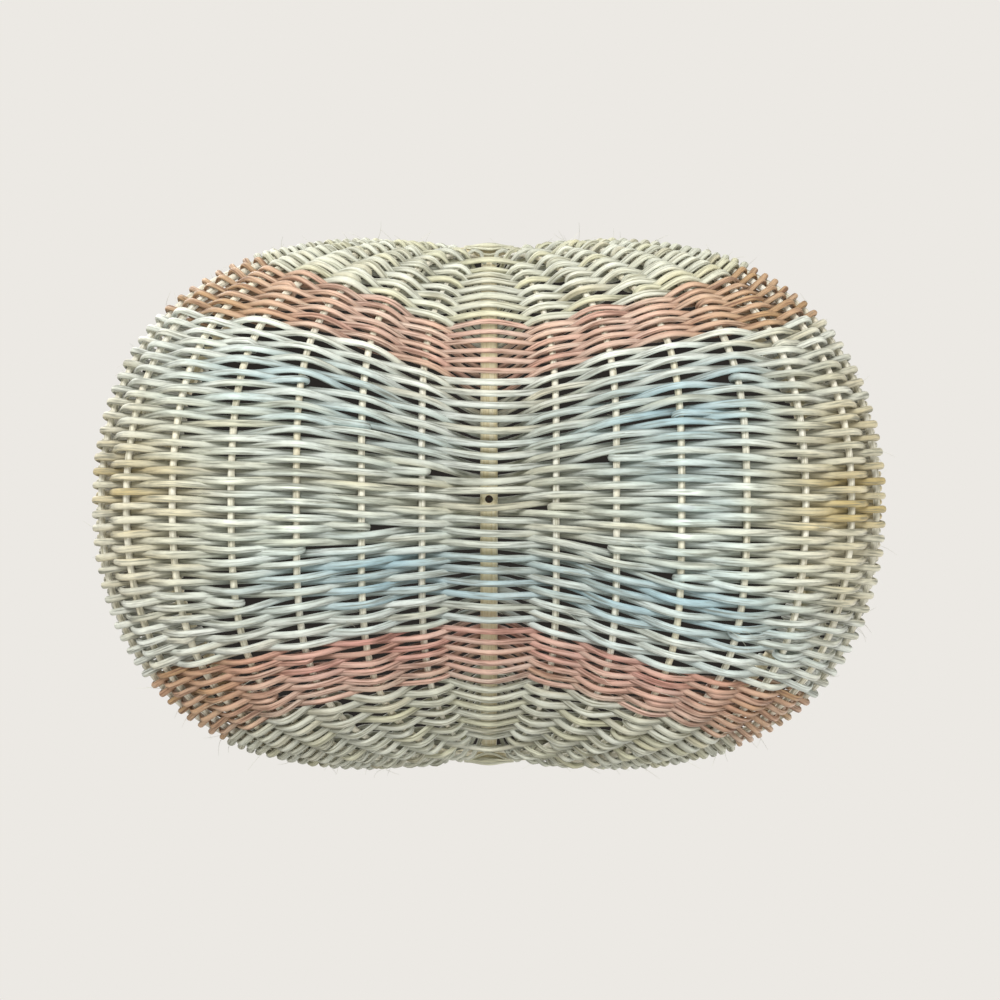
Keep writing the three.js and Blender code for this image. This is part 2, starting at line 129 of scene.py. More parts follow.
def column_line(column, count=241):
    if column == 0:
        angle = np.linspace(-EAR_ANGLE, EAR_ANGLE, count)
        return measured(np.stack([0 * angle, HOOP_RADIUS * np.sin(angle),
                                  HOOP_CENTRE - HOOP_RADIUS * np.cos(angle)], axis=1))
    width = middle_line["reach"][-1]
    clear = width - HOOP_WIDTH / 2 - RIM_HEIGHT / 2
    place = HOOP_WIDTH / 2 + abs(column) / RIM_COLUMN * clear
    share = 1.0 if abs(column) == RIM_COLUMN else place / width
    angle = np.linspace(0, math.pi, count)
    lobe = LOBE_SCALE * share ** 2 * (1 - share)
    bow = RIB_BOW * BOW_SCALE * share * (1 - share) ** 2
    share = share + bow * np.sin(2 * angle) ** 2
    across, height = point_at(middle_line, share * width).T
    squareness = INNER_SQUARENESS + (RIM_SQUARENESS - INNER_SQUARENESS) * share
    half_depth = HOOP_AT_RIM + (RIM_HALF_DEPTH - HOOP_AT_RIM) * share
    flank, corner = squareness - FLANK_SLIMNESS * lobe, squareness + CORNER_FULLNESS * lobe
    along = -np.sign(np.cos(angle)) * np.abs(np.cos(angle)) ** (2 / flank)
    reach = np.abs(np.sin(angle)) ** (2 / corner)
    side = np.sign(column)
    return measured(np.stack([side * across * reach, half_depth * along, height * reach], axis=1))


columns = {column: column_line(column) for column in range(-RIM_COLUMN, RIM_COLUMN + 1)}
for line in columns.values():
    line["length"] = line["reach"][-1]
print("columns", len(columns), "spine", round(columns[0]["length"]), "mm")

# %% [markdown]
# ## Counting the rows
# The weaver goes from rim to rim and back, row after row, from the front ear to the back one. Where a lobe
# swells it needs more reed than the spine does, so now and then the weaver turns back round a rib: a short
# row. Those turns leave the small dark wedges that show on the lobes. The lists give the row after which a
# turn comes, and the rib that it goes round. Close to an ear the ribs crowd, so the first rows pass over
# every second rib only. Rows could be painted on a plain shell instead, but only real reeds give the gaps.

# %% Rows, bands and short rows
NATURAL_ROWS, PINK_ROWS, MIDDLE_ROWS, ROWS_ON_MAIN_RIBS = 20, 12, 40, 6
BAND_ROWS = [NATURAL_ROWS, PINK_ROWS, MIDDLE_ROWS, PINK_ROWS, NATURAL_ROWS]
FRONT_BAND, BACK_BAND = 0, len(BAND_ROWS) - 1
FULL_ROWS = sum(BAND_ROWS)
RIGHT_TURNS = {2: 4, 4: 2, 6: 4, 8: 2, 10: 4, 12: 2, 14: 4, 16: 3, 18: 3,
               24: 4, 34: 5, 38: 4, 42: 3, 46: 2, 52: 1, 56: 2, 58: 3, 64: 4, 66: 5, 74: 4, 80: 3,
               86: 3, 88: 3, 90: 4, 92: 4, 94: 2, 96: 4, 98: 2, 100: 4, 102: 2}
LEFT_TURNS = {1: 2, 3: 4, 5: 2, 7: 4, 9: 2, 11: 4, 13: 4, 15: 3, 17: 3,
              23: 4, 35: 4, 39: 3, 43: 2, 47: 1, 55: 2, 57: 3, 63: 4, 67: 5, 73: 3, 79: 4,
              85: 3, 87: 3, 89: 4, 91: 2, 93: 4, 95: 2, 97: 4, 99: 2, 101: 4}
SQUEEZE = [0.5, 0.8]
for line in columns.values():
    line["room"], line["skipped"] = [[] for _ in BAND_ROWS], 0
band_of_row = np.repeat(np.arange(len(BAND_ROWS)), BAND_ROWS)
passes = []
sign = 1
for row in range(FULL_ROWS):
    side = 1 if row % 2 == 0 else -1
    trips = [(-side * RIM_COLUMN, side * RIM_COLUMN, -RIM_COLUMN)]
    turn = RIGHT_TURNS.get(row) if side > 0 else LEFT_TURNS.get(row)
    if turn:
        trips += [(side * RIM_COLUMN, side * turn, turn), (side * turn, side * RIM_COLUMN, turn)]
    near_ear = min(row, FULL_ROWS - 1 - row) < ROWS_ON_MAIN_RIBS
    band = band_of_row[row]
    for start, end, turned in trips:
        step = 1 if end > start else -1
        crossings = []
        for column in range(start, end + step, step):
            room, past_turn = columns[column]["room"][band], abs(column) - turned
            if not near_ear or column % 2 == 0:
                crossings.append({"column": column, "rank": len(room), "sign": sign})
                sign = -sign
            elif band == FRONT_BAND:
                columns[column]["skipped"] += 1
            room.append(SQUEEZE[past_turn] if past_turn < len(SQUEEZE) else 1.0)
        passes.append({"row": row, "band": band, "crossings": crossings})
print("passes", len(passes), "rows on the spine by band", [len(room) for room in columns[0]["room"]])

# %% [markdown]
# ## Where each row crosses a rib
# The rows of a band share its room on each rib, and a row next to a turn takes less. The edges of the
# colour bands wander, so they are given as shares of the length of each rib. Even steps would be simpler,
# but next to the ears, where the ribs run together, the rows lie wider apart.

# %% Places of the rows and thickness of the ribs
RIB_DIAMETER, RIB_TIP_DIAMETER, RIB_TAPER, EAR_RADIUS = 2.4, 1.2, 45.0, 9.0
EAR_SPREAD = 0.75   # below one, so the rows next to an ear lie wider apart
FIRST_ROW, FIRST_ROW_SHIFT, EDGE_MARGIN, EDGE_MARGIN_SHIFT = 9.5, 0.9, 15.5, 0.5
EDGE_COLUMNS = [-10, -8, -5, -3, -1, 0, 1, 3, 5, 8, 10]
FRONT_NATURAL = [0.14, 0.188, 0.225, 0.236, 0.242, 0.225, 0.244, 0.262, 0.25, 0.213, 0.175]
FRONT_PINK = [0.285, 0.3, 0.308, 0.307, 0.317, 0.325, 0.321, 0.321, 0.323, 0.301, 0.285]
BACK_PINK = [0.31, 0.322, 0.344, 0.348, 0.336, 0.325, 0.328, 0.321, 0.316, 0.298, 0.28]
BACK_NATURAL = [0.185, 0.221, 0.257, 0.276, 0.252, 0.225, 0.25, 0.257, 0.242, 0.203, 0.16]


def place_in_band(column, band, share):
    front = [np.interp(column, EDGE_COLUMNS, edge) for edge in (FRONT_NATURAL, FRONT_PINK)]
    back = [1 - np.interp(column, EDGE_COLUMNS, edge) for edge in (BACK_PINK, BACK_NATURAL)]
    length = columns[column]["length"]
    first = FIRST_ROW + FIRST_ROW_SHIFT * abs(column)
    margin = EDGE_MARGIN + EDGE_MARGIN_SHIFT * abs(column)
    edges = [first] + [margin + edge * (length - 2 * margin) for edge in front + back] + [length - first]
    if band == FRONT_BAND:
        share = share ** EAR_SPREAD
    if band == BACK_BAND:
        share = 1 - (1 - share) ** EAR_SPREAD
    return edges[band] + (edges[band + 1] - edges[band]) * share


def row_place(column, band, rank):
    room = columns[column]["room"][band]
    return place_in_band(column, band, (sum(room[:rank]) + room[rank] / 2) / sum(room))


def rib_start(column):
    if column % 2 == 0:
        return EAR_RADIUS + FIT_GAP
    room = columns[column]["room"][FRONT_BAND]
    return place_in_band(column, FRONT_BAND, sum(room[:columns[column]["skipped"]]) / sum(room))


def rib_radius(column, place):
    from_tip = np.minimum(place, columns[column]["length"] - place) - rib_start(column)
    share = np.clip(from_tip / RIB_TAPER, 0, 1)
    return (RIB_TIP_DIAMETER + (RIB_DIAMETER - RIB_TIP_DIAMETER) * share) / 2


print("rib 1 starts", round(rib_start(1), 1), "mm from the ear, rib 2", round(rib_start(2), 1), "mm")

# %% [markdown]
# ## How far the reed stands off
# At every rib the reed rides over or under it, half a rib and half a reed away from its middle. Over the
# cleft it spans straight from lobe to lobe, as a stiff reed does, and the rows part round the tack on the
# spine. A fixed height would be quicker to write, but a reed that is pulled tight stands off further where
# its neighbours are high. Small seeded differences in place and thickness keep the weave from looking
# machine made.

# %% Stand-off of the reed at each crossing
REED_HALF_WIDTH, REED_AT_EAR, FLATNESS = 1.26, 0.85, 0.7
BAND_WIDTH = [1.12, 0.86, 1.0, 0.86, 1.12]
TOUCH_GAP, PLACE_SPREAD, SETTLE_ROUNDS = 0.04, 0.16, 4
THINNEST, THICKEST = 0.9, 1.04
TACK_ROOM = 2.5
nail_low, nail_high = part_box("spine_nail")
tack_angle = math.asin((nail_low.y + nail_high.y) / 2 / MM / HOOP_RADIUS)
TACK_PLACE = columns[0]["length"] / 2 + HOOP_RADIUS * tack_angle
draw = np.random.default_rng(11)


def wrap_size(column, place, reed):
    cover = reed * FLATNESS + TOUCH_GAP
    if column == 0:
        return HOOP_WIDTH / 2 + cover, HOOP_THICKNESS / 2 + cover
    if abs(column) == RIM_COLUMN:
        return RIM_HEIGHT / 2 + cover, RIM_THICKNESS / 2 + cover
    return rib_radius(column, place) + cover, rib_radius(column, place) + cover


def reed_point(stop):
    return stop["base"] + stop["sign"] * stop["off"] * stop["out"]


def settle(stop, neighbours):
    spans = []
    for neighbour in neighbours:
        offset = reed_point(neighbour) - stop["base"]
        spans.append((stop["sign"] * offset @ stop["out"], abs(offset @ stop["right"])))
    for height, run in spans:
        rise = max(stop["off"] - height, 0) / run
        stop["off"] = max(stop["off"], math.hypot(stop["size"][1], rise * stop["size"][0]))
    if len(spans) == 2:
        (h0, r0), (h1, r1) = spans
        stop["off"] = max(stop["off"], (h0 * r1 + h1 * r0) / (r0 + r1))


def lay_pass(one):
    stops = []
    for crossing in one["crossings"]:
        column = crossing["column"]
        place = row_place(column, one["band"], crossing["rank"]) + draw.normal(0, PLACE_SPREAD)
        from_tack = place - TACK_PLACE
        if column == 0 and crossing["sign"] > 0 and abs(from_tack) < TACK_ROOM:
            place = TACK_PLACE + math.copysign(TACK_ROOM, from_tack)
        line = columns[column]
        stops.append({"column": column, "place": place, "sign": crossing["sign"],
                      "base": point_at(line, place), "along": direction_at(line, place),
                      "size": wrap_size(column, place, one["reed"])})
    rightward = np.sign(stops[-1]["column"] - stops[0]["column"])
    for index, stop in enumerate(stops):
        before = stops[max(index - 1, 0)]["base"]
        after = stops[min(index + 1, len(stops) - 1)]["base"]
        out = np.cross(stop["along"], (after - before) * rightward)
        stop["out"] = out / np.linalg.norm(out)
        stop["right"] = np.cross(stop["out"], stop["along"])
        stop["off"] = stop["size"][1]
    for _ in range(SETTLE_ROUNDS):
        for index in range(1, len(stops) - 1):
            settle(stops[index], [stops[index - 1], stops[index + 1]])
    return stops


for one in passes:
    ear_share = min(one["row"], FULL_ROWS - 1 - one["row"]) / NATURAL_ROWS
    at_ear = REED_AT_EAR + (1 - REED_AT_EAR) * min(ear_share, 1)
    one["reed"] = REED_HALF_WIDTH * BAND_WIDTH[one["band"]] * at_ear * draw.uniform(THINNEST, THICKEST)
    one["stops"] = lay_pass(one)
print("crossings", sum(len(one["stops"]) for one in passes))

# %% [markdown]
# ## One unbroken length of reed
# A length of reed is a path through all its crossings, with a half turn round the rim, or round a rib, at
# the end of every pass. A smooth curve through the crossings could be left to Blender's curve types, but
# working the points out here keeps the turns round and tells for each point which row it is on, how wide
# the reed is and whether it lies on the outside.

# %% Paths of the reed
SAMPLES_PER_SPAN, TURN_SAMPLES = 7, 7


def far_side(column):
    return np.sign(column) if abs(column) == RIM_COLUMN else -np.sign(column)


def pass_points(stops):
    points = np.array([reed_point(stop) for stop in stops])
    gaps = np.linalg.norm(np.diff(points, axis=0), axis=1)
    slopes = np.diff(points, axis=0) / gaps[:, None]
    ways = np.empty_like(points)
    ways[1:-1] = gaps[1:, None] * slopes[:-1] + gaps[:-1, None] * slopes[1:]
    ways[1:-1] /= (gaps[1:] + gaps[:-1])[:, None]
    first, last = stops[0], stops[-1]
    ways[0] = -far_side(first["column"]) * first["right"]
    ways[-1] = far_side(last["column"]) * last["right"]
    share = np.arange(SAMPLES_PER_SPAN)[:, None] / SAMPLES_PER_SPAN
    bends = (2 * share ** 3 - 3 * share ** 2 + 1, share ** 3 - 2 * share ** 2 + share,
             3 * share ** 2 - 2 * share ** 3, share ** 3 - share ** 2)
    runs = [bends[0] * points[i] + bends[1] * gaps[i] * ways[i] + bends[2] * points[i + 1]
            + bends[3] * gaps[i] * ways[i + 1] for i in range(len(gaps))]
    outs = np.array([stop["out"] for stop in stops])
    fans = [outs[i] + share * (outs[i + 1] - outs[i]) for i in range(len(gaps))]
    return np.concatenate(runs + [points[-1:]]), np.concatenate(fans + [outs[-1:]])


def turn_points(last, first):
    line = columns[last["column"]]
    points, outs = [], []
    for share in np.linspace(0, 1, TURN_SAMPLES + 2)[1:-1]:
        base = point_at(line, last["place"] + share * (first["place"] - last["place"]))
        half = math.pi * share
        lean = last["sign"] * math.cos(half) * last["size"][1]
        reach = far_side(last["column"]) * math.sin(half) * last["size"][0]
        outs.append(lean * last["out"] + reach * last["right"])
        points.append(base + outs[-1])
    return np.array(points), np.array(outs)


def pass_lift(stops):
    signs = [stop["sign"] for stop in stops]
    spans = len(stops) - 1
    return np.interp(np.arange(spans * SAMPLES_PER_SPAN + 1) / SAMPLES_PER_SPAN, np.arange(spans + 1), signs)


def strand_path(rows):
    own = [one for one in passes if rows[0] <= one["row"] < rows[1]]
    parts = []
    for index, one in enumerate(own):
        runs = [(*pass_points(one["stops"]), pass_lift(one["stops"]))]
        if index:
            turn = turn_points(own[index - 1]["stops"][-1], one["stops"][0])
            runs.insert(0, (*turn, np.zeros(TURN_SAMPLES)))
        for points, outs, lift in runs:
            row_of, reed_of = (np.full(len(points), one[key]) for key in ("row", "reed"))
            parts.append((points, outs, row_of, reed_of, lift))
    return [np.concatenate(values) for values in zip(*parts)]


print("points on the first two rows", len(strand_path((0, 2))[0]))

# %% [markdown]
# ## Small helpers for nodes and colours
# Colours are written as the sRGB hex values that a picture shows, and one function turns them into the
# linear values that the shader works with. One other function adds a node to any tree, with its settings
# and its links, so that each tree below reads as a list of what it does.


# %% Helpers
def linear(hex_value):
    channels = [int(hex_value[i:i + 2], 16) / 255 for i in (1, 3, 5)]
    return [c / 12.92 if c <= 0.04045 else ((c + 0.055) / 1.055) ** 2.4 for c in channels] + [1.0]


def add_node(tree, kind, inputs=None, **settings):
    node = tree.nodes.new(kind)
    for name, value in settings.items():
        setattr(node, name, value)
    for key, value in (inputs or {}).items():
        if isinstance(value, bpy.types.NodeSocket):
            tree.links.new(value, node.inputs[key])
        else:
            node.inputs[key].default_value = value
    return node


def link_object(name, mesh):
    piece = bpy.data.objects.new(name, mesh)
    bpy.context.scene.collection.objects.link(piece)
    return piece


print("mid grey is", round(linear("#808080")[0], 3), "in linear light")

# %% [markdown]
# ## Reed
# Round reed is the split core of a climbing palm, drawn through a die. It is dry, dull and full of fine
# long fibres, and it takes dye unevenly. The grain follows each reed round every bend, so the material
# reads the place on the straightened reed, in millimetres, that the tube tree stores as an attribute. A
# picture could be wrapped round the reed instead, but noise stretched along the fibre needs no file and
# never repeats.

# %% Reed material
STREAK_WIDTH, STREAK_LENGTH = 0.8, 14.0   # coarser than real fibres, which this size of picture would lose
PATCH_WIDTH, PATCH_LENGTH = 5.0, 34.0
DRIFT_WIDTH, DRIFT_LENGTH = 8.0, 70.0
MOTTLE_WIDTH, MOTTLE_LENGTH = 1.3, 4.0
FURROW_DEPTH = 0.2


def stretched(tree, grain, width, length, detail):
    scale = (1 / width, 1 / width, 1 / length)
    place = add_node(tree, "ShaderNodeMapping", {"Vector": grain, "Scale": scale})
    return add_node(tree, "ShaderNodeTexNoise",
                    {"Vector": place.outputs["Vector"], "Scale": 1.0, "Detail": detail}).outputs["Fac"]


def reed_material(name, plain, second, dye, aged, dark):
    material = bpy.data.materials.new(name)
    material.use_nodes = True
    tree = material.node_tree
    shader = tree.nodes["Principled BSDF"]
    grain = add_node(tree, "ShaderNodeAttribute", attribute_name="grain").outputs["Vector"]
    dyed, ochre, tone = (add_node(tree, "ShaderNodeAttribute", attribute_name=key).outputs["Fac"]
                         for key in ("dye", "ochre", "tone"))
    streaks = stretched(tree, grain, STREAK_WIDTH, STREAK_LENGTH, 3.0)
    patches = stretched(tree, grain, PATCH_WIDTH, PATCH_LENGTH, 2.0)
    drift = stretched(tree, grain, DRIFT_WIDTH, DRIFT_LENGTH, 2.0)
    mottles = stretched(tree, grain, MOTTLE_WIDTH, MOTTLE_LENGTH, 2.0)
    patchy = add_node(tree, "ShaderNodeMapRange", {"Value": patches, 1: 0.36, 2: 0.64}).outputs["Result"]
    uneven = add_node(tree, "ShaderNodeMapRange", {"Value": patches, 1: 0.3, 2: 0.7, 3: 0.6, 4: 1.1})
    soaked = add_node(tree, "ShaderNodeMath", {0: dyed, 1: uneven.outputs["Result"]}, operation="MULTIPLY",
                      use_clamp=True)
    warmth = add_node(tree, "ShaderNodeMapRange", {"Value": drift, 1: 0.5, 2: 0.7, 3: 0.0, 4: 0.5})
    furrow = add_node(tree, "ShaderNodeMapRange", {"Value": streaks, 1: 0.52, 2: 0.34, 3: 0.0, 4: 0.8})
    colour = add_node(tree, "ShaderNodeMix", {0: patchy, 6: linear(plain), 7: linear(second)},
                      data_type="RGBA")
    for amount, over in ((warmth.outputs["Result"], aged), (soaked.outputs[0], dye), (ochre, aged),
                         (furrow.outputs["Result"], dark)):
        colour = add_node(tree, "ShaderNodeMix", {0: amount, 6: colour.outputs[2], 7: linear(over)},
                          data_type="RGBA")
    mottled = add_node(tree, "ShaderNodeMapRange", {"Value": mottles, 1: 0.32, 2: 0.68, 3: 0.86, 4: 1.06})
    value = add_node(tree, "ShaderNodeMath", {0: tone, 1: mottled.outputs["Result"]}, operation="MULTIPLY")
    colour = add_node(tree, "ShaderNodeHueSaturation",
                      {"Value": value.outputs[0], "Color": colour.outputs[2]})
    tree.links.new(colour.outputs["Color"], shader.inputs["Base Color"])
    rough = add_node(tree, "ShaderNodeMapRange", {"Value": streaks, 1: 0.3, 2: 0.7, 3: 0.78, 4: 0.55})
    tree.links.new(rough.outputs["Result"], shader.inputs["Roughness"])
    relief = add_node(tree, "ShaderNodeBump",
                      {"Height": streaks, "Strength": 0.7, "Distance": FURROW_DEPTH * MM})
    tree.links.new(relief.outputs["Normal"], shader.inputs["Normal"])
    shader.inputs["IOR"].default_value = 1.5
    shader.inputs["Specular IOR Level"].default_value = 0.35
    return material


# Natural reed gives the eye a dry grey cream, dyed reed a faded colour, and the ribs the palest lines.
natural_reed = reed_material("round_reed_natural", "#dcdfd2", "#d1d3c1", "#d2d0ae", "#c5b68c", "#7d7b65")
pink_reed = reed_material("round_reed_dyed_pink", "#dccdbc", "#d2b9a4", "#d09c90", "#bb9a70", "#6e4b3b")
pale_reed = reed_material("round_reed_faint_blue", "#eaeee6", "#dce0d4", "#a9c7d1", "#cdb982", "#77786c")
rib_reed = reed_material("round_reed_ribs", "#f2f1e7", "#e8e5d7", "#dcd5b4", "#d3c296", "#a8a48e")
print("reed materials", [m.name for m in (natural_reed, pink_reed, pale_reed, rib_reed)])

# %% [markdown]
# ## The tube tree
# Every reed, rib and winding here is a tube along a path. Soaked reed flattens a little under the weaver's
# hand, so the weavers are oval with their flat side out, and the ribs round. One Geometry Nodes tree makes
# all of them: it turns the path into a curve, sweeps a circle or an oval along it with the thickness that
# each point asks for, and stores the place on the straightened reed for the grain. Beveling a curve object
# would give the same tube, without the attributes that carry the grain and the dye.

# %% Tube tree
tube_tree = bpy.data.node_groups.new("reed_along_path", "GeometryNodeTree")
for name, way, kind in (("Geometry", "INPUT", "Geometry"), ("Sides", "INPUT", "Int"),
                        ("Flatness", "INPUT", "Float"), ("Reed", "INPUT", "Material"),
                        ("Geometry", "OUTPUT", "Geometry")):
    tube_tree.interface.new_socket(name, in_out=way, socket_type="NodeSocket" + kind)
given = add_node(tube_tree, "NodeGroupInput")
outward, around = (add_node(tube_tree, "GeometryNodeInputNamedAttribute", {"Name": key},
                            data_type="FLOAT_VECTOR").outputs["Attribute"] for key in ("outward", "section"))
thick, run = (add_node(tube_tree, "GeometryNodeInputNamedAttribute", {"Name": key},
                       data_type="FLOAT").outputs["Attribute"] for key in ("reed_radius", "along"))
curve = add_node(tube_tree, "GeometryNodeMeshToCurve", {"Mesh": given.outputs["Geometry"]})
turned = add_node(tube_tree, "GeometryNodeSetCurveNormal",
                  {"Curve": curve.outputs["Curve"], "Normal": outward}, mode="FREE")
circle = add_node(tube_tree, "GeometryNodeCurvePrimitiveCircle",
                  {"Resolution": given.outputs["Sides"], "Radius": 1.0})
squash = add_node(tube_tree, "ShaderNodeCombineXYZ", {"X": given.outputs["Flatness"], "Y": 1.0, "Z": 1.0})
oval = add_node(tube_tree, "GeometryNodeTransform",
                {"Geometry": circle.outputs["Curve"], "Scale": squash.outputs[0]})
where = add_node(tube_tree, "GeometryNodeInputPosition").outputs["Position"]
section = add_node(tube_tree, "GeometryNodeStoreNamedAttribute",
                   {"Geometry": oval.outputs["Geometry"], "Name": "section", "Value": where},
                   data_type="FLOAT_VECTOR", domain="POINT")
tube = add_node(tube_tree, "GeometryNodeCurveToMesh",
                {"Curve": turned.outputs["Curve"], "Profile Curve": section.outputs["Geometry"],
                 "Scale": thick, "Fill Caps": True})
in_mm = add_node(tube_tree, "ShaderNodeMath", {0: thick, 1: 1 / MM}, operation="MULTIPLY")
skin = add_node(tube_tree, "ShaderNodeVectorMath", {0: around, "Scale": in_mm.outputs[0]}, operation="SCALE")
length = add_node(tube_tree, "ShaderNodeCombineXYZ", {"Z": run})
grain = add_node(tube_tree, "ShaderNodeVectorMath", {0: skin.outputs[0], 1: length.outputs[0]},
                 operation="ADD")
stored = add_node(tube_tree, "GeometryNodeStoreNamedAttribute",
                  {"Geometry": tube.outputs["Mesh"], "Name": "grain", "Value": grain.outputs[0]},
                  data_type="FLOAT_VECTOR", domain="POINT")
smooth = add_node(tube_tree, "GeometryNodeSetShadeSmooth", {"Geometry": stored.outputs["Geometry"]})
real = add_node(tube_tree, "GeometryNodeRealizeInstances", {"Geometry": smooth.outputs["Geometry"]})
coloured = add_node(tube_tree, "GeometryNodeSetMaterial",
                    {"Geometry": real.outputs["Geometry"], "Material": given.outputs["Reed"]})
add_node(tube_tree, "NodeGroupOutput", {"Geometry": coloured.outputs["Geometry"]})
print("tube tree", len(tube_tree.nodes), "nodes")

# %% [markdown]
# ## From a path to a piece
# A path becomes a mesh of points and steps with its values as attributes, and the tube tree turns it into
# reed. The result is copied to a plain mesh, so that the piece needs no modifier later. The flat side of a
# reed has to look away from the basket all along it, so each point also carries that direction, squared to
# the path.

# %% Reed pieces
LONGEST_COIL, SIDE_SHARE, CENTRE_HEIGHT = 4000.0, 0.5, -20.0


def grow(piece, tree, values):
    modifier = piece.modifiers.new(tree.name, "NODES")
    modifier.node_group = tree
    for item in tree.interface.items_tree:
        if item.in_out == "INPUT" and item.name in values:
            modifier[item.identifier] = values[item.name]
    graph = bpy.context.evaluated_depsgraph_get()
    mesh = bpy.data.meshes.new_from_object(piece.evaluated_get(graph), preserve_all_data_layers=True,
                                           depsgraph=graph)
    piece.modifiers.remove(modifier)
    path = piece.data
    piece.data = mesh
    bpy.data.meshes.remove(path)
    mesh.name = piece.name
    return piece


def away(points):
    out = points * [SIDE_SHARE, 1, 1] - [0, 0, CENTRE_HEIGHT]
    return out / np.linalg.norm(out, axis=1)[:, None]


def square_to(points, outs):
    ahead = np.gradient(points, axis=0)
    ahead /= np.linalg.norm(ahead, axis=1)[:, None]
    outs = outs - ahead * np.sum(outs * ahead, axis=1)[:, None]
    outs /= np.linalg.norm(outs, axis=1)[:, None]
    turns = np.cumprod(np.sign(np.sum(outs[1:] * outs[:-1], axis=1)))
    outs[1:] *= turns[:, None]
    return outs


def reed_piece(name, points, outs, values, material, sides, flatness=1.0, chain=None):
    mesh = bpy.data.meshes.new(name)
    in_place = (points + [0, 0, RIM_LEVEL]) * MM
    steps = [(i - 1, i) for i in range(1, len(points)) if chain is None or i % chain]
    mesh.from_pydata(in_place.tolist(), steps, [])
    layer = mesh.attributes.new("outward", "FLOAT_VECTOR", "POINT")
    layer.data.foreach_set("vector", square_to(points, outs).astype(np.float32).ravel())
    values["along"] = measured(points)["reach"] + draw.uniform(0, LONGEST_COIL)
    for key, numbers in values.items():
        layer = mesh.attributes.new(key, "FLOAT", "POINT")
        layer.data.foreach_set("value", np.broadcast_to(numbers, len(points)).astype(np.float32))
    return grow(link_object(name, mesh), tube_tree,
                {"Sides": sides, "Flatness": flatness, "Reed": material})


def hand_over(piece, slot, *stands_for):
    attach(piece, "root")
    if stands_for:
        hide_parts(*stands_for)
    return len(piece.data.polygons)


print("ribs and fibres face away from a point", -CENTRE_HEIGHT, "mm below the rim")

# %% [markdown]
# ## Dye, age and painted shade
# The weaver dipped some of the reed: pink for a band near each ear, a faint blue for parts of the middle.
# Dye fades where light and hands reach it, so the pink turns ochre towards the outer ends of the lobes and
# the blue is strongest half-way out. Each point of a path gets numbers for dye, ochre and tone by a rule. The
# tone also holds painted shade: on the back rows of natural reed, in the cleft, and where a reed passes
# under. Painting the numbers by hand would also work, but a rule is easier to read and to change.

# %% Colour values along the reed
TONE_SPREAD = 0.045
row_mood = draw.uniform(0, 1, FULL_ROWS)
row_tone = draw.normal(1.0, TONE_SPREAD, FULL_ROWS)
MIDDLE_ROW = (FULL_ROWS - 1) / 2
# Each dip: its middle in millimetres and in rows, its reach in both, and its strength.
DIPS = [(60, -9, 46, 8, 0.95), (-62, -12, 40, 6, 0.55), (-30, -8, 26, 4, 0.5), (-40, 9, 46, 8, 0.75),
        (64, 11, 46, 8, 0.8), (0, 14, 46, 5, 0.5), (-100, -8, 22, 5, 0.3)]
FRONT_FADE_FROM, BACK_FADE_FROM, FADE_RUN = 48, 58, 42
FRONT_DYE, FRONT_DYE_INSIDE, BACK_DYE, BACK_DYE_INSIDE, DYE_BY_MOOD = 0.05, 0.25, 0.12, 0.6, 0.4
YELLOW_MOOD, YELLOW_DYE, NATURAL_OCHRE, NATURAL_OCHRE_AT, BACK_SHADE = 0.72, 0.7, 0.12, (40, 60), 0.86
LOBE_END, END_ROWS, RIGHT_ROWS, RIGHT_OCHRE = (75, 40), (2, 8), (-9, 10), 0.4
CLEFT_ROWS, CLEFT_REACH, CLEFT_OCHRE, SHADE_REACH, CLEFT_SHADE = (0, 7), (0, 45), 0.45, (0, 30), 0.1


def bump(value, centre, width):
    return np.exp(-((value - centre) / width) ** 2)


def rise(value, start, run):
    return np.clip((value - start) / run, 0, 1)


def pink_values(x, rows_back, mood):
    back = rows_back > 0
    ochre = rise(np.abs(x), np.where(back, BACK_FADE_FROM, FRONT_FADE_FROM), FADE_RUN) * (0.5 + 0.5 * mood)
    inside = 1 - rise(np.abs(rows_back), MIDDLE_ROWS / 2, PINK_ROWS)
    dye = np.where(back, BACK_DYE + BACK_DYE_INSIDE * inside, FRONT_DYE + FRONT_DYE_INSIDE * inside)
    return {"dye": dye + DYE_BY_MOOD * mood, "ochre": ochre, "shade": 1.0}


def natural_values(x, rows_back, mood):
    ochre = NATURAL_OCHRE * mood * rise(np.abs(x), *NATURAL_OCHRE_AT)
    # The "shade" below darkens the back rows: painted shade for the side that lies away from the light.
    return {"dye": YELLOW_DYE * (mood > YELLOW_MOOD), "ochre": ochre,
            "shade": np.where(rows_back > 0, BACK_SHADE, 1.0)}


def middle_values(x, rows_back, mood):
    blue = np.zeros(len(x))
    for centre_x, centre_row, reach, rows, strength in DIPS:
        blue += strength * bump(x, centre_x, reach) * bump(rows_back, centre_row, rows)
    from_middle = np.abs(rows_back)
    ochre = bump(from_middle, *END_ROWS) * rise(np.abs(x), *LOBE_END) * (0.3 + 0.6 * mood)
    ochre += CLEFT_OCHRE * bump(from_middle, *CLEFT_ROWS) * bump(np.abs(x), *CLEFT_REACH) * mood
    ochre += RIGHT_OCHRE * bump(rows_back, *RIGHT_ROWS) * rise(x, *LOBE_END) * (0.3 + 0.7 * mood)
    # The "shade" below darkens the cleft between the lobes: painted shade.
    return {"dye": np.clip(blue * (0.35 + 0.95 * mood), 0, 1), "ochre": ochre,
            "shade": 1 - CLEFT_SHADE * bump(np.abs(x), *SHADE_REACH)}


print("yellowed rows", int(np.sum(row_mood > YELLOW_MOOD)), "of", FULL_ROWS)

# %% [markdown]
# ## Weaving the bands
# Thirteen lengths of reed make the basket: two of natural reed and two of pink at each ear, and five over
# the middle. Each stands for one packed weaver, and takes the same share of the rows.

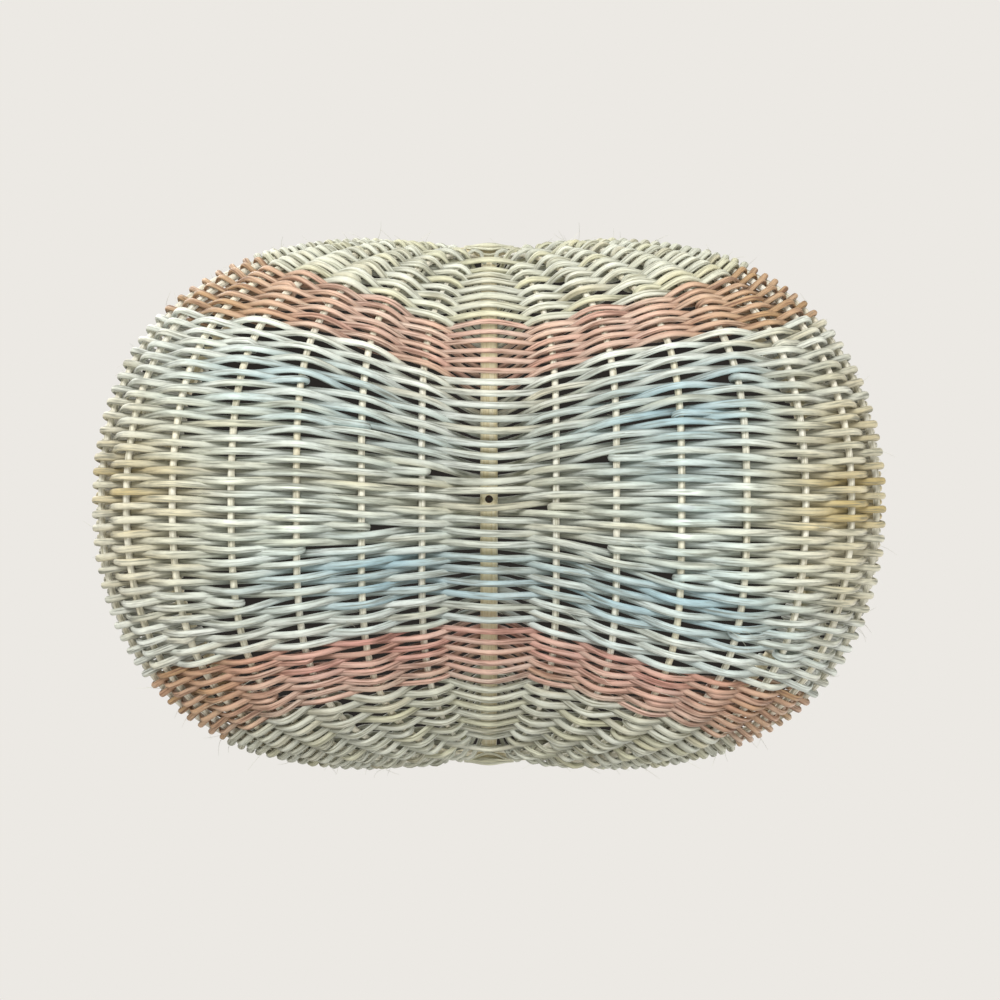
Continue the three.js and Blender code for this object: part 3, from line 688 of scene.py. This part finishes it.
# %% Weavers
REED_SIDES = 8
# The first two numbers give painted shade where a reed passes under: the tone half-way, and how much it rises
# or falls from there.
PAINTED_TUCK_SHADE, PAINTED_TUCK_SPAN, OUTER_LIFT = 0.81, 0.22, 0.4
SLOW_SWELL, SLOW_LENGTH, QUICK_SWELL, QUICK_LENGTH, LARGEST_PHASE = 0.04, 21, 0.03, 8, 6
FIBRES = {"natural": 42, "pink": 14, "middle": 26}
rules = {"natural": natural_values, "pink": pink_values, "middle": middle_values}
finishes = {"natural": (natural_reed, "natural_reed"), "pink": (pink_reed, "pink_reed"),
            "middle": (pale_reed, "pale_reed")}
lengths = [("natural", "_front", 2), ("pink", "_front", 2), ("middle", "", 5), ("pink", "_back", 2),
           ("natural", "_back", 2)]
bands = [(band, f"{band}_weaver{ear}_{part + 1}", rows // parts)
         for (band, ear, parts), rows in zip(lengths, BAND_ROWS) for part in range(parts)]
first = 0
faces = 0
fibre_roots = []
for band, node, count in bands:
    points, outs, row_of, reed_of, lift = strand_path((first, first + count))
    first += count
    values = rules[band](points[:, 0], row_of - MIDDLE_ROW, row_mood[row_of])
    # Tone: the row's own random tone, times the shade from its rule, times painted shade that darkens the
    # reed where it passes under its neighbours.
    values["tone"] = row_tone[row_of] * values.pop("shade") * (PAINTED_TUCK_SHADE + PAINTED_TUCK_SPAN * lift)
    reach, phase = measured(points)["reach"], draw.uniform(0, LARGEST_PHASE)
    swell = 1 + SLOW_SWELL * np.sin(reach / SLOW_LENGTH + phase)
    swell += QUICK_SWELL * np.sin(reach / QUICK_LENGTH + 2 * phase)
    values["reed_radius"] = reed_of * swell * MM
    picks = draw.choice(np.flatnonzero(lift[:-1] > OUTER_LIFT), FIBRES[band], replace=False)
    fibre_roots += [(points[i], points[i + 1] - points[i], reed_of[i]) for i in picks]
    material, slot = finishes[band]
    piece = reed_piece(node.replace("weaver", "reed"), points, outs, values, material, REED_SIDES, FLATNESS)
    faces += hand_over(piece, slot, node)
print("rows woven", first, "of", FULL_ROWS, "faces", faces)

# %% [markdown]
# ## Ribs
# The ribs are round reed too, a little thicker, pared to a point at both ends so that they fit under the
# lashings. They follow the columns, so the same tube tree makes them.

# %% Ribs
RIB_SIDES, RIB_STEP = 10, 4.0
RIB_DYE, RIB_OCHRE, RIB_TONE_SPREAD = 0.35, 0.12, 0.03
for rib in range(1, RIBS_PER_SIDE + 1):
    for side, word in ((-1, "left"), (1, "right")):
        line = columns[side * rib]
        start = rib_start(side * rib)
        places = np.linspace(start, line["length"] - start, int(line["length"] / RIB_STEP))
        radius = rib_radius(side * rib, places) - TOUCH_GAP
        shade = {"reed_radius": radius * MM, "dye": RIB_DYE * draw.uniform(),
                 "ochre": RIB_OCHRE * draw.uniform(), "tone": draw.normal(1.0, RIB_TONE_SPREAD)}
        points = point_at(line, places)
        piece = reed_piece(f"{word}_rib_{rib}", points, away(points), shade, rib_reed, RIB_SIDES)
        faces += hand_over(piece, "rib_reed", f"rib_{word}_{rib}")
print("ribs", 2 * RIBS_PER_SIDE, "faces so far", faces)

# %% [markdown]
# ## Ear lashings
# Where the hoops cross, a thin reed is laid across the crossing from one arm of the rim to the other, taken
# once round the arm, and laid back again beside the last strand. The strands stand side by side over the
# crossing and bunch together on the rim, so from below they make a smooth pale lens. The lashing is one
# long path as well.

# %% Lashings
LASH_RADIUS, LASH_STRANDS, LASH_HEIGHT, LASH_REACH, LASH_BUNCH = 0.55, 18, 9.6, 9.0, 0.26
LASH_SAMPLES, ARM_SAMPLES, LASH_BACK, LASH_FLAT, LASH_ROUND = 13, 9, 93.0, 1.5, 8.2
LASH_SIDES, LASH_FINENESS, LASH_THINNEST, LASH_CENTRE, ARM_OUTSIDE = 8, 2, 0.6, 90, 1.03
tack_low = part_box("front_hoop_nail")[0]
lash_cover = LASH_RADIUS + TOUCH_GAP
rim_half = (RIM_THICKNESS / 2 + lash_cover, RIM_HEIGHT / 2 + lash_cover)


def lash_point(height, across):
    share = math.cos(math.pi / 2 * across / LASH_REACH) ** 2
    rim_y = point_at(columns[RIM_COLUMN], abs(across))[1]
    on_arm = rim_y - rim_half[0] * math.sqrt(1 - (LASH_BUNCH * height / rim_half[1]) ** 2)
    dome = math.sqrt(1 - (max(abs(height) - LASH_FLAT, 0) / LASH_ROUND) ** 2)
    hoop_face = math.sqrt(hoop_outside ** 2 - (HOOP_CENTRE - height) ** 2)
    out = max(LASH_BACK + (-tack_low.y / MM - LASH_BACK) * dome, hoop_face) + lash_cover
    bunched = LASH_BUNCH + (1 - LASH_BUNCH) * share
    return [across, on_arm + (-out - on_arm) * share, height * bunched], share


def lash_path():
    points, shares = [], []
    side = -1
    for height in np.linspace(-LASH_HEIGHT, LASH_HEIGHT, LASH_STRANDS):
        for across in np.linspace(side, -side, LASH_SAMPLES) * LASH_REACH:
            point, share = lash_point(height, across)
            points.append(point)
            shares.append(share)
        side = -side
        rim_y = point_at(columns[RIM_COLUMN], LASH_REACH)[1]
        start = math.asin(LASH_BUNCH * height / rim_half[1])
        for turn in np.linspace(0, 2 * math.pi, ARM_SAMPLES + 2)[1:-1]:
            points.append([side * LASH_REACH * ARM_OUTSIDE, rim_y - rim_half[0] * math.cos(start + turn),
                           rim_half[1] * math.sin(start + turn)])
            shares.append(0.0)
    return np.array(points), np.array(shares)


def eased(points, count):
    fine = np.linspace(0, len(points) - 1, (len(points) - 1) * count + 1)
    whole = np.clip(fine.astype(int), 0, len(points) - 2)
    t = (fine - whole)[:, None]
    padded = np.concatenate([points[:1], points, points[-1:]])
    a, b, c, d = (padded[whole + shift] for shift in range(4))
    square, cube = 2 * a - 5 * b + 4 * c - d, 3 * b - a - 3 * c + d
    return 0.5 * (2 * b + (c - a) * t + square * t ** 2 + cube * t ** 3)


for word, flip in (("front", 1), ("back", -1)):
    points, shares = lash_path()
    points = eased(points * [1, flip, 1], LASH_FINENESS)
    finer = np.interp(np.arange(len(points)) / LASH_FINENESS, np.arange(len(shares)), shares)
    radius = LASH_RADIUS * (LASH_THINNEST + (1 - LASH_THINNEST) * finer)
    shade = {"reed_radius": radius * MM, "dye": 0.4, "ochre": 0.1, "tone": 1.02}
    outs = points - [0, flip * -LASH_CENTRE, 0]
    piece = reed_piece(f"{word}_ear_winding", points, outs, shade, natural_reed, LASH_SIDES)
    faces += hand_over(piece, "lashing_reed", f"{word}_ear_lashing")
print("faces with lashings", faces)

# %% [markdown]
# ## Loose fibres
# Dry reed sheds fine fibres that stand off the weave like hairs, most of all at the ears, where it is bent
# hardest. Each springs from a point that was picked on the outer side of a reed, runs on along it and curls
# away, and none goes through the floor. A particle system could scatter them, but short paths for the tube
# tree need no settings beyond those already here.

# %% Loose fibres
FIBRE_POINTS, FIBRE_SIDES, FIBRE_RADIUS, FIBRE_SEAT, FIBRE_TAPER = 6, 3, 0.075, 0.9, 0.6
FIBRE_LENGTH, FIBRE_LIFT, FIBRE_CURL, LIFT_POWER = (3, 11), (0.4, 2.6), 2.2, 1.6
share = np.linspace(0, 1, FIBRE_POINTS)[:, None]
points = []
for root, way, reed in fibre_roots:
    way = way / np.linalg.norm(way) * draw.choice([-1, 1])
    out = away(root[None])[0]
    length, lift = draw.uniform(*FIBRE_LENGTH), draw.uniform(*FIBRE_LIFT)
    curl = draw.normal(0, FIBRE_CURL)
    points.append(root + out * reed * FIBRE_SEAT + way * length * share + out * lift * share ** LIFT_POWER
                  + np.cross(way, out) * curl * share ** 2)
points = np.concatenate(points)
points[:, 2] = np.maximum(points[:, 2], FIBRE_RADIUS - RIM_LEVEL)
shade = {"reed_radius": np.tile(FIBRE_RADIUS * (1 - FIBRE_TAPER * share[:, 0]), len(fibre_roots)) * MM,
         "dye": 0.1, "ochre": 0.0, "tone": 1.08}
piece = reed_piece("loose_fibres", points, away(points), shade, natural_reed, FIBRE_SIDES,
                   chain=FIBRE_POINTS)
faces += hand_over(piece, "natural_reed")
print("fibres", len(fibre_roots), "faces so far", faces)

# %% [markdown]
# ## Hoops
# The hoops are thin strips of wood, steamed and bent, with their edges rounded by hand. Each is a rounded
# rectangle swept round a closed ring. The sweep is written out here, because the strip must not twist, and
# so that the grain can run along it.

# %% Hoops
CORNER_RADIUS, CORNER_STEPS = 1.3, 4


def rounded_section(half_across, half_out):
    corners = []
    for quarter, (sx, sy) in enumerate([(1, 1), (-1, 1), (-1, -1), (1, -1)]):
        for step in range(CORNER_STEPS + 1):
            angle = math.pi / 2 * (quarter + step / CORNER_STEPS)
            corners.append((sx * (half_across - CORNER_RADIUS) + CORNER_RADIUS * math.cos(angle),
                            sy * (half_out - CORNER_RADIUS) + CORNER_RADIUS * math.sin(angle)))
    return np.array(corners)


def hoop_piece(name, centres, across, out, section, material):
    count, sides = len(centres), len(section)
    points = centres[:, None] + section[None, :, :1] * across[:, None] + section[None, :, 1:] * out[:, None]
    ring, side = np.meshgrid(np.arange(count), np.arange(sides), indexing="ij")
    after, beside = (ring + 1) % count, (side + 1) % sides
    quads = np.stack([ring * sides + side, ring * sides + beside,
                      after * sides + beside, after * sides + side], -1)
    in_place = (points.reshape(-1, 3) + [0, 0, RIM_LEVEL]) * MM
    mesh = bpy.data.meshes.new(name)
    mesh.from_pydata(in_place.tolist(), [], quads.reshape(-1, 4).tolist())
    reach = measured(centres)["reach"]
    grain = np.concatenate([np.broadcast_to(section, (count, sides, 2)),
                            np.broadcast_to(reach[:, None, None], (count, sides, 1))], -1)
    layer = mesh.attributes.new("grain", "FLOAT_VECTOR", "POINT")
    layer.data.foreach_set("vector", grain.astype(np.float32).ravel())
    mesh.polygons.foreach_set("use_smooth", [True] * len(mesh.polygons))
    mesh.materials.append(material)
    return link_object(name, mesh)


rim_section = rounded_section(RIM_HEIGHT / 2, RIM_THICKNESS / 2)
spine_section = rounded_section(HOOP_WIDTH / 2, HOOP_THICKNESS / 2)
print("points round a hoop's section", len(spine_section))

# %% [markdown]
# ## Bent wood
# The hoops are a pale open-grained wood, bare and gone a little yellow. Its pores are short dark dashes
# along the strip, and its grain lines run the whole way, so both are noise stretched along the stored place
# on the strip.

# %% Hoop wood
LINE_WIDTH, LINE_LENGTH = 0.6, 70.0
PORE_WIDTH, PORE_LENGTH, PORE_DEPTH = 0.22, 3.5, 0.1
CLOUD_WIDTH, CLOUD_LENGTH = 9.0, 30.0


def bent_wood(name, pale, warm, dark):
    material = bpy.data.materials.new(name)
    material.use_nodes = True
    tree = material.node_tree
    shader = tree.nodes["Principled BSDF"]
    grain = add_node(tree, "ShaderNodeAttribute", attribute_name="grain").outputs["Vector"]
    lines = stretched(tree, grain, LINE_WIDTH, LINE_LENGTH, 3.0)
    pores = stretched(tree, grain, PORE_WIDTH, PORE_LENGTH, 1.0)
    clouds = stretched(tree, grain, CLOUD_WIDTH, CLOUD_LENGTH, 2.0)
    warmth = add_node(tree, "ShaderNodeMapRange", {"Value": lines, 1: 0.35, 2: 0.65}).outputs["Result"]
    colour = add_node(tree, "ShaderNodeMix", {0: warmth, 6: linear(pale), 7: linear(warm)}, data_type="RGBA")
    pitted = add_node(tree, "ShaderNodeMapRange", {"Value": pores, 1: 0.62, 2: 0.74, 3: 0.0, 4: 0.6})
    colour = add_node(tree, "ShaderNodeMix",
                      {0: pitted.outputs["Result"], 6: colour.outputs[2], 7: linear(dark)}, data_type="RGBA")
    shade = add_node(tree, "ShaderNodeMapRange", {"Value": clouds, 1: 0.3, 2: 0.7, 3: 0.9, 4: 1.06})
    colour = add_node(tree, "ShaderNodeHueSaturation",
                      {"Value": shade.outputs["Result"], "Color": colour.outputs[2]})
    tree.links.new(colour.outputs["Color"], shader.inputs["Base Color"])
    rough = add_node(tree, "ShaderNodeMapRange", {"Value": lines, 1: 0.3, 2: 0.7, 3: 0.62, 4: 0.48})
    tree.links.new(rough.outputs["Result"], shader.inputs["Roughness"])
    relief = add_node(tree, "ShaderNodeBump",
                      {"Height": pores, "Strength": 0.3, "Distance": PORE_DEPTH * MM}, invert=True)
    tree.links.new(relief.outputs["Normal"], shader.inputs["Normal"])
    shader.inputs["IOR"].default_value = 1.5
    return material


# Bare ash gives the eye a smooth warm strip between the dull reeds.
hoop_wood = bent_wood("bent_ash_strip", "#e2dbc0", "#d3c69d", "#9c8a60")
HOOP_STEPS = 180
angle = np.linspace(0, 2 * math.pi, HOOP_STEPS, endpoint=False)
radial = np.stack([0 * angle, np.sin(angle), -np.cos(angle)], 1)
sideways = np.broadcast_to([1.0, 0, 0], radial.shape)
hoop = hoop_piece("spine_and_handle", radial * HOOP_RADIUS + [0, 0, HOOP_CENTRE], sideways, radial,
                  spine_section, hoop_wood)
rim_line = np.concatenate([columns[RIM_COLUMN]["points"][:-1], columns[-RIM_COLUMN]["points"][:0:-1]])
ahead = np.roll(rim_line, -1, axis=0) - np.roll(rim_line, 1, axis=0)
ahead /= np.linalg.norm(ahead, axis=1)[:, None]
upward = np.broadcast_to([0, 0, 1.0], ahead.shape)
rim = hoop_piece("oval_rim", rim_line, upward, np.cross(ahead, upward), rim_section, hoop_wood)
faces += hand_over(hoop, "hoop_wood", "handle_hoop") + hand_over(rim, "hoop_wood", "rim_hoop")
print("faces with hoops", faces)

# %% [markdown]
# ## Tacks
# A small steel tack shows on the spine in the middle of the bottom. Two more hold the hoops under the
# lashings. The steel has gone dark, with some rust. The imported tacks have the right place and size, so the
# hidden two only get the finish, and the one that shows gets a domed head, turned from a profile.

# %% Tacks
SPOT_SIZE = 0.5
# Old steel gives the eye one small dark dot in the middle of the pale bottom.
tack_steel = bpy.data.materials.new("tack_steel_dark")
tack_steel.use_nodes = True
tree = tack_steel.node_tree
shader = tree.nodes["Principled BSDF"]
place = add_node(tree, "ShaderNodeTexCoord").outputs["Object"]
spots = add_node(tree, "ShaderNodeTexNoise", {"Vector": place, "Scale": 1 / (SPOT_SIZE * MM), "Detail": 3.0})
rusty = add_node(tree, "ShaderNodeMapRange", {"Value": spots.outputs["Fac"], 1: 0.5, 2: 0.65})
colour = add_node(tree, "ShaderNodeMix",
                  {0: rusty.outputs["Result"], 6: linear("#3a3734"), 7: linear("#4d2f1f")}, data_type="RGBA")
tree.links.new(colour.outputs[2], shader.inputs["Base Color"])
rough = add_node(tree, "ShaderNodeMapRange", {"Value": spots.outputs["Fac"], 1: 0.4, 2: 0.65, 3: 0.4, 4: 0.8})
tree.links.new(rough.outputs["Result"], shader.inputs["Roughness"])
shader.inputs["Metallic"].default_value = 0.8
for word in ("front", "back"):
    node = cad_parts[f"{word}_hoop_nail"]
    node.data.materials.clear()
    node.data.materials.append(tack_steel)

nail_x, nail_y = (nail_low.x + nail_high.x) / 2, (nail_low.y + nail_high.y) / 2
HEAD_RADIUS, HEAD_DOME, HEAD_EDGE, DOME_POINTS, TACK_SIDES = 1.3, 0.45, 0.25, 7, 24
SHANK_RADIUS, SHANK_LENGTH, TIP_LENGTH = 0.6, 2.4, 3.2
profile = [(HEAD_RADIUS * math.sin(a), -HEAD_DOME * math.cos(a))
           for a in np.linspace(0, math.pi / 2, DOME_POINTS)]
profile += [(HEAD_RADIUS, HEAD_EDGE), (SHANK_RADIUS, HEAD_EDGE)]
profile += [(SHANK_RADIUS, SHANK_LENGTH), (0, TIP_LENGTH)]
spin = np.linspace(0, 2 * math.pi, TACK_SIDES, endpoint=False)
rings = [[(nail_x + r * MM * math.cos(a), nail_y + r * MM * math.sin(a), nail_low.z + (HEAD_DOME + h) * MM)
          for a in spin] for r, h in profile[1:-1]]
points = [(nail_x, nail_y, nail_low.z)] + [p for one in rings for p in one]
points.append((nail_x, nail_y, nail_low.z + (HEAD_DOME + profile[-1][1]) * MM))
quads = [(0, 1 + (i + 1) % TACK_SIDES, 1 + i) for i in range(TACK_SIDES)]
for r in range(len(rings) - 1):
    a, b = 1 + r * TACK_SIDES, 1 + (r + 1) * TACK_SIDES
    quads += [(a + i, a + (i + 1) % TACK_SIDES, b + (i + 1) % TACK_SIDES, b + i) for i in range(TACK_SIDES)]
tip, a = len(points) - 1, 1 + (len(rings) - 1) * TACK_SIDES
quads += [(a + i, a + (i + 1) % TACK_SIDES, tip) for i in range(TACK_SIDES)]
mesh = bpy.data.meshes.new("spine_tack")
mesh.from_pydata(points, [], quads)
mesh.polygons.foreach_set("use_smooth", [True] * len(mesh.polygons))
mesh.materials.append(tack_steel)
tack = link_object("spine_tack", mesh)
hand_over(tack, "nail_steel", "spine_nail")
print("tack at", round(nail_x, 4), round(nail_y, 4))

# %% [markdown]
# ## Floor
# The basket stands on a plain pale floor. The photograph looks straight up at its bottom, so the camera is
# under the floor. The floor is one-sided for that: from below it lets the camera look through, and it
# throws no shadow, but from above it is a plain pale surface that keeps the shadow of the basket and fades
# into the backdrop further out.

# %% Floor
FLOOR_HALF, FLOOR_FADES_FROM, FLOOR_GONE_AT = 3, 0.35, 1.3
floor_mesh = bpy.data.meshes.new("floor")
corners = [(x * FLOOR_HALF, y * FLOOR_HALF, 0) for x, y in ((-1, -1), (1, -1), (1, 1), (-1, 1))]
floor_mesh.from_pydata(corners, [], [(0, 1, 2, 3)])
floor = link_object("floor", floor_mesh)
floor.visible_shadow = False
paper = bpy.data.materials.new("pale_floor")
paper.use_nodes = True
tree = paper.node_tree
tree.nodes.clear()
matt = add_node(tree, "ShaderNodeBsdfDiffuse", {"Color": linear("#e6e3dd")})
clear = add_node(tree, "ShaderNodeBsdfTransparent")
facing = add_node(tree, "ShaderNodeNewGeometry")
place = add_node(tree, "ShaderNodeTexCoord").outputs["Object"]
radius = add_node(tree, "ShaderNodeVectorMath", {0: place}, operation="LENGTH").outputs["Value"]
faded = add_node(tree, "ShaderNodeMapRange", {"Value": radius, 1: FLOOR_FADES_FROM, 2: FLOOR_GONE_AT},
                 interpolation_type="SMOOTHSTEP")
gone = add_node(tree, "ShaderNodeMath", {0: faded.outputs["Result"], 1: facing.outputs["Backfacing"]},
                operation="MAXIMUM")
mixed = add_node(tree, "ShaderNodeMixShader", {0: gone.outputs[0], 1: matt.outputs[0], 2: clear.outputs[0]})
add_node(tree, "ShaderNodeOutputMaterial", {"Surface": mixed.outputs[0]})
floor_mesh.materials.append(paper)
print("floor", 2 * FLOOR_HALF, "m wide")

# %% [markdown]
# ## A dark card
# Looked at from below, the gaps of the weave are dark, because the inside of a basket is in shade. A dark
# card hangs high above and is seen only by the camera, so it darkens the gaps and takes no light away from
# the reed. Darker reed on the inside could do the same, but would look wrong from above.

# %% Dark card
CARD_HEIGHT, CARD_REACH, CARD_DEPTH, CARD_SQUARENESS, CARD_POINTS = 0.8, 0.35, 0.23, 2.6, 64
spin = np.linspace(0, 2 * math.pi, CARD_POINTS, endpoint=False)
card_x = CARD_REACH * np.sign(np.cos(spin)) * np.abs(np.cos(spin)) ** (2 / CARD_SQUARENESS)
card_y = CARD_DEPTH * np.sign(np.sin(spin)) * np.abs(np.sin(spin)) ** (2 / CARD_SQUARENESS)
card_mesh = bpy.data.meshes.new("dark_card")
card_mesh.from_pydata([(x, y, CARD_HEIGHT) for x, y in zip(card_x, card_y)], [], [tuple(range(CARD_POINTS))])
card = link_object("dark_card", card_mesh)
card.visible_shadow = card.visible_diffuse = card.visible_glossy = card.visible_transmission = False
shade_paint = bpy.data.materials.new("painted_shade_card")
shade_paint.use_nodes = True
shader = shade_paint.node_tree.nodes["Principled BSDF"]
# Near-black: painted shade for the shaded inside of the basket, seen through the gaps of the weave.
shader.inputs["Base Color"].default_value = linear("#1d1916")
shader.inputs["Roughness"].default_value = 1.0
card_mesh.materials.append(shade_paint)
print("card at", CARD_HEIGHT, "m")

# %% [markdown]
# ## Light
# A window lamp, and a weaker fill from the other side, light the basket from below, where the camera is. A
# second pair lights it from above for other views. A sun lamp would be simpler, but its hard shadows would
# hide the weave. The world adds a little even light, and the camera, and what is mirrored in a shiny
# surface, sees it as a plain bright backdrop.

# %% World and lamps
world = bpy.data.worlds.new("studio")
bpy.context.scene.world = world
world.use_nodes = True
tree = world.node_tree
tree.nodes.clear()
path = add_node(tree, "ShaderNodeLightPath")
seen = path.outputs["Is Camera Ray"]
for ray in ("Is Glossy Ray", "Is Transmission Ray"):
    seen = add_node(tree, "ShaderNodeMath", {0: seen, 1: path.outputs[ray]}, operation="MAXIMUM").outputs[0]
soft = add_node(tree, "ShaderNodeBackground", {"Color": linear("#f4f5f7"), "Strength": 0.28})
backdrop = add_node(tree, "ShaderNodeBackground", {"Color": linear("#ece9e4"), "Strength": 1.0})
mixed = add_node(tree, "ShaderNodeMixShader", {0: seen, 1: soft.outputs[0], 2: backdrop.outputs[0]})
add_node(tree, "ShaderNodeOutputWorld", {"Surface": mixed.outputs[0]})
LAMP_AIM = Vector((0, 0, 0.08))


def soft_lamp(name, place, watts, size):
    lamp = bpy.data.lights.new(name, "AREA")
    lamp.energy, lamp.size = watts, size
    holder = bpy.data.objects.new(name, lamp)
    holder.location = place
    holder.rotation_euler = (LAMP_AIM - Vector(place)).to_track_quat("-Z", "Y").to_euler()
    holder.visible_camera = False
    bpy.context.scene.collection.objects.link(holder)


LAMPS = {"window_below": ((-0.15, -0.5, -0.9), 8.8, 0.35), "fill_below": ((0.35, 0.3, -0.93), 4.2, 0.6),
         "window_above": ((-0.8, -0.9, 1.0), 18.0, 0.9), "fill_above": ((0.9, 0.6, 0.8), 7.0, 0.9)}
for name, (place, watts, size) in LAMPS.items():
    soft_lamp(name, place, watts, size)
print("lamps", list(LAMPS))

# %% [markdown]
# ## Camera
# The photograph looks straight up at the bottom, so the camera lies under the middle and is turned over. Its
# lens is worked out from the perspective of the picture. A small shift brings the basket to its place, since
# turning the camera would show more of one lobe than of the other.

# %% Camera
CAMERA_BELOW, FOCAL_PIXELS, FRAME_PIXELS, SENSOR = 0.405, 1300, 1000, 36.0
SHIFT_X, SHIFT_Y, NEAREST = 0.011, 0.004, 0.01
camera = bpy.data.cameras.new("camera")
camera.sensor_width = SENSOR
camera.lens = FOCAL_PIXELS / FRAME_PIXELS * SENSOR
camera.shift_x, camera.shift_y = SHIFT_X, SHIFT_Y
camera.clip_start = NEAREST
eye = bpy.data.objects.new("camera", camera)
bpy.context.scene.collection.objects.link(eye)
eye.location = (0, 0, -CAMERA_BELOW)
eye.rotation_euler = (math.pi, 0, 0)
bpy.context.scene.camera = eye
bpy.context.scene.view_settings.view_transform = "Standard"
print("lens", round(camera.lens, 1), "mm")
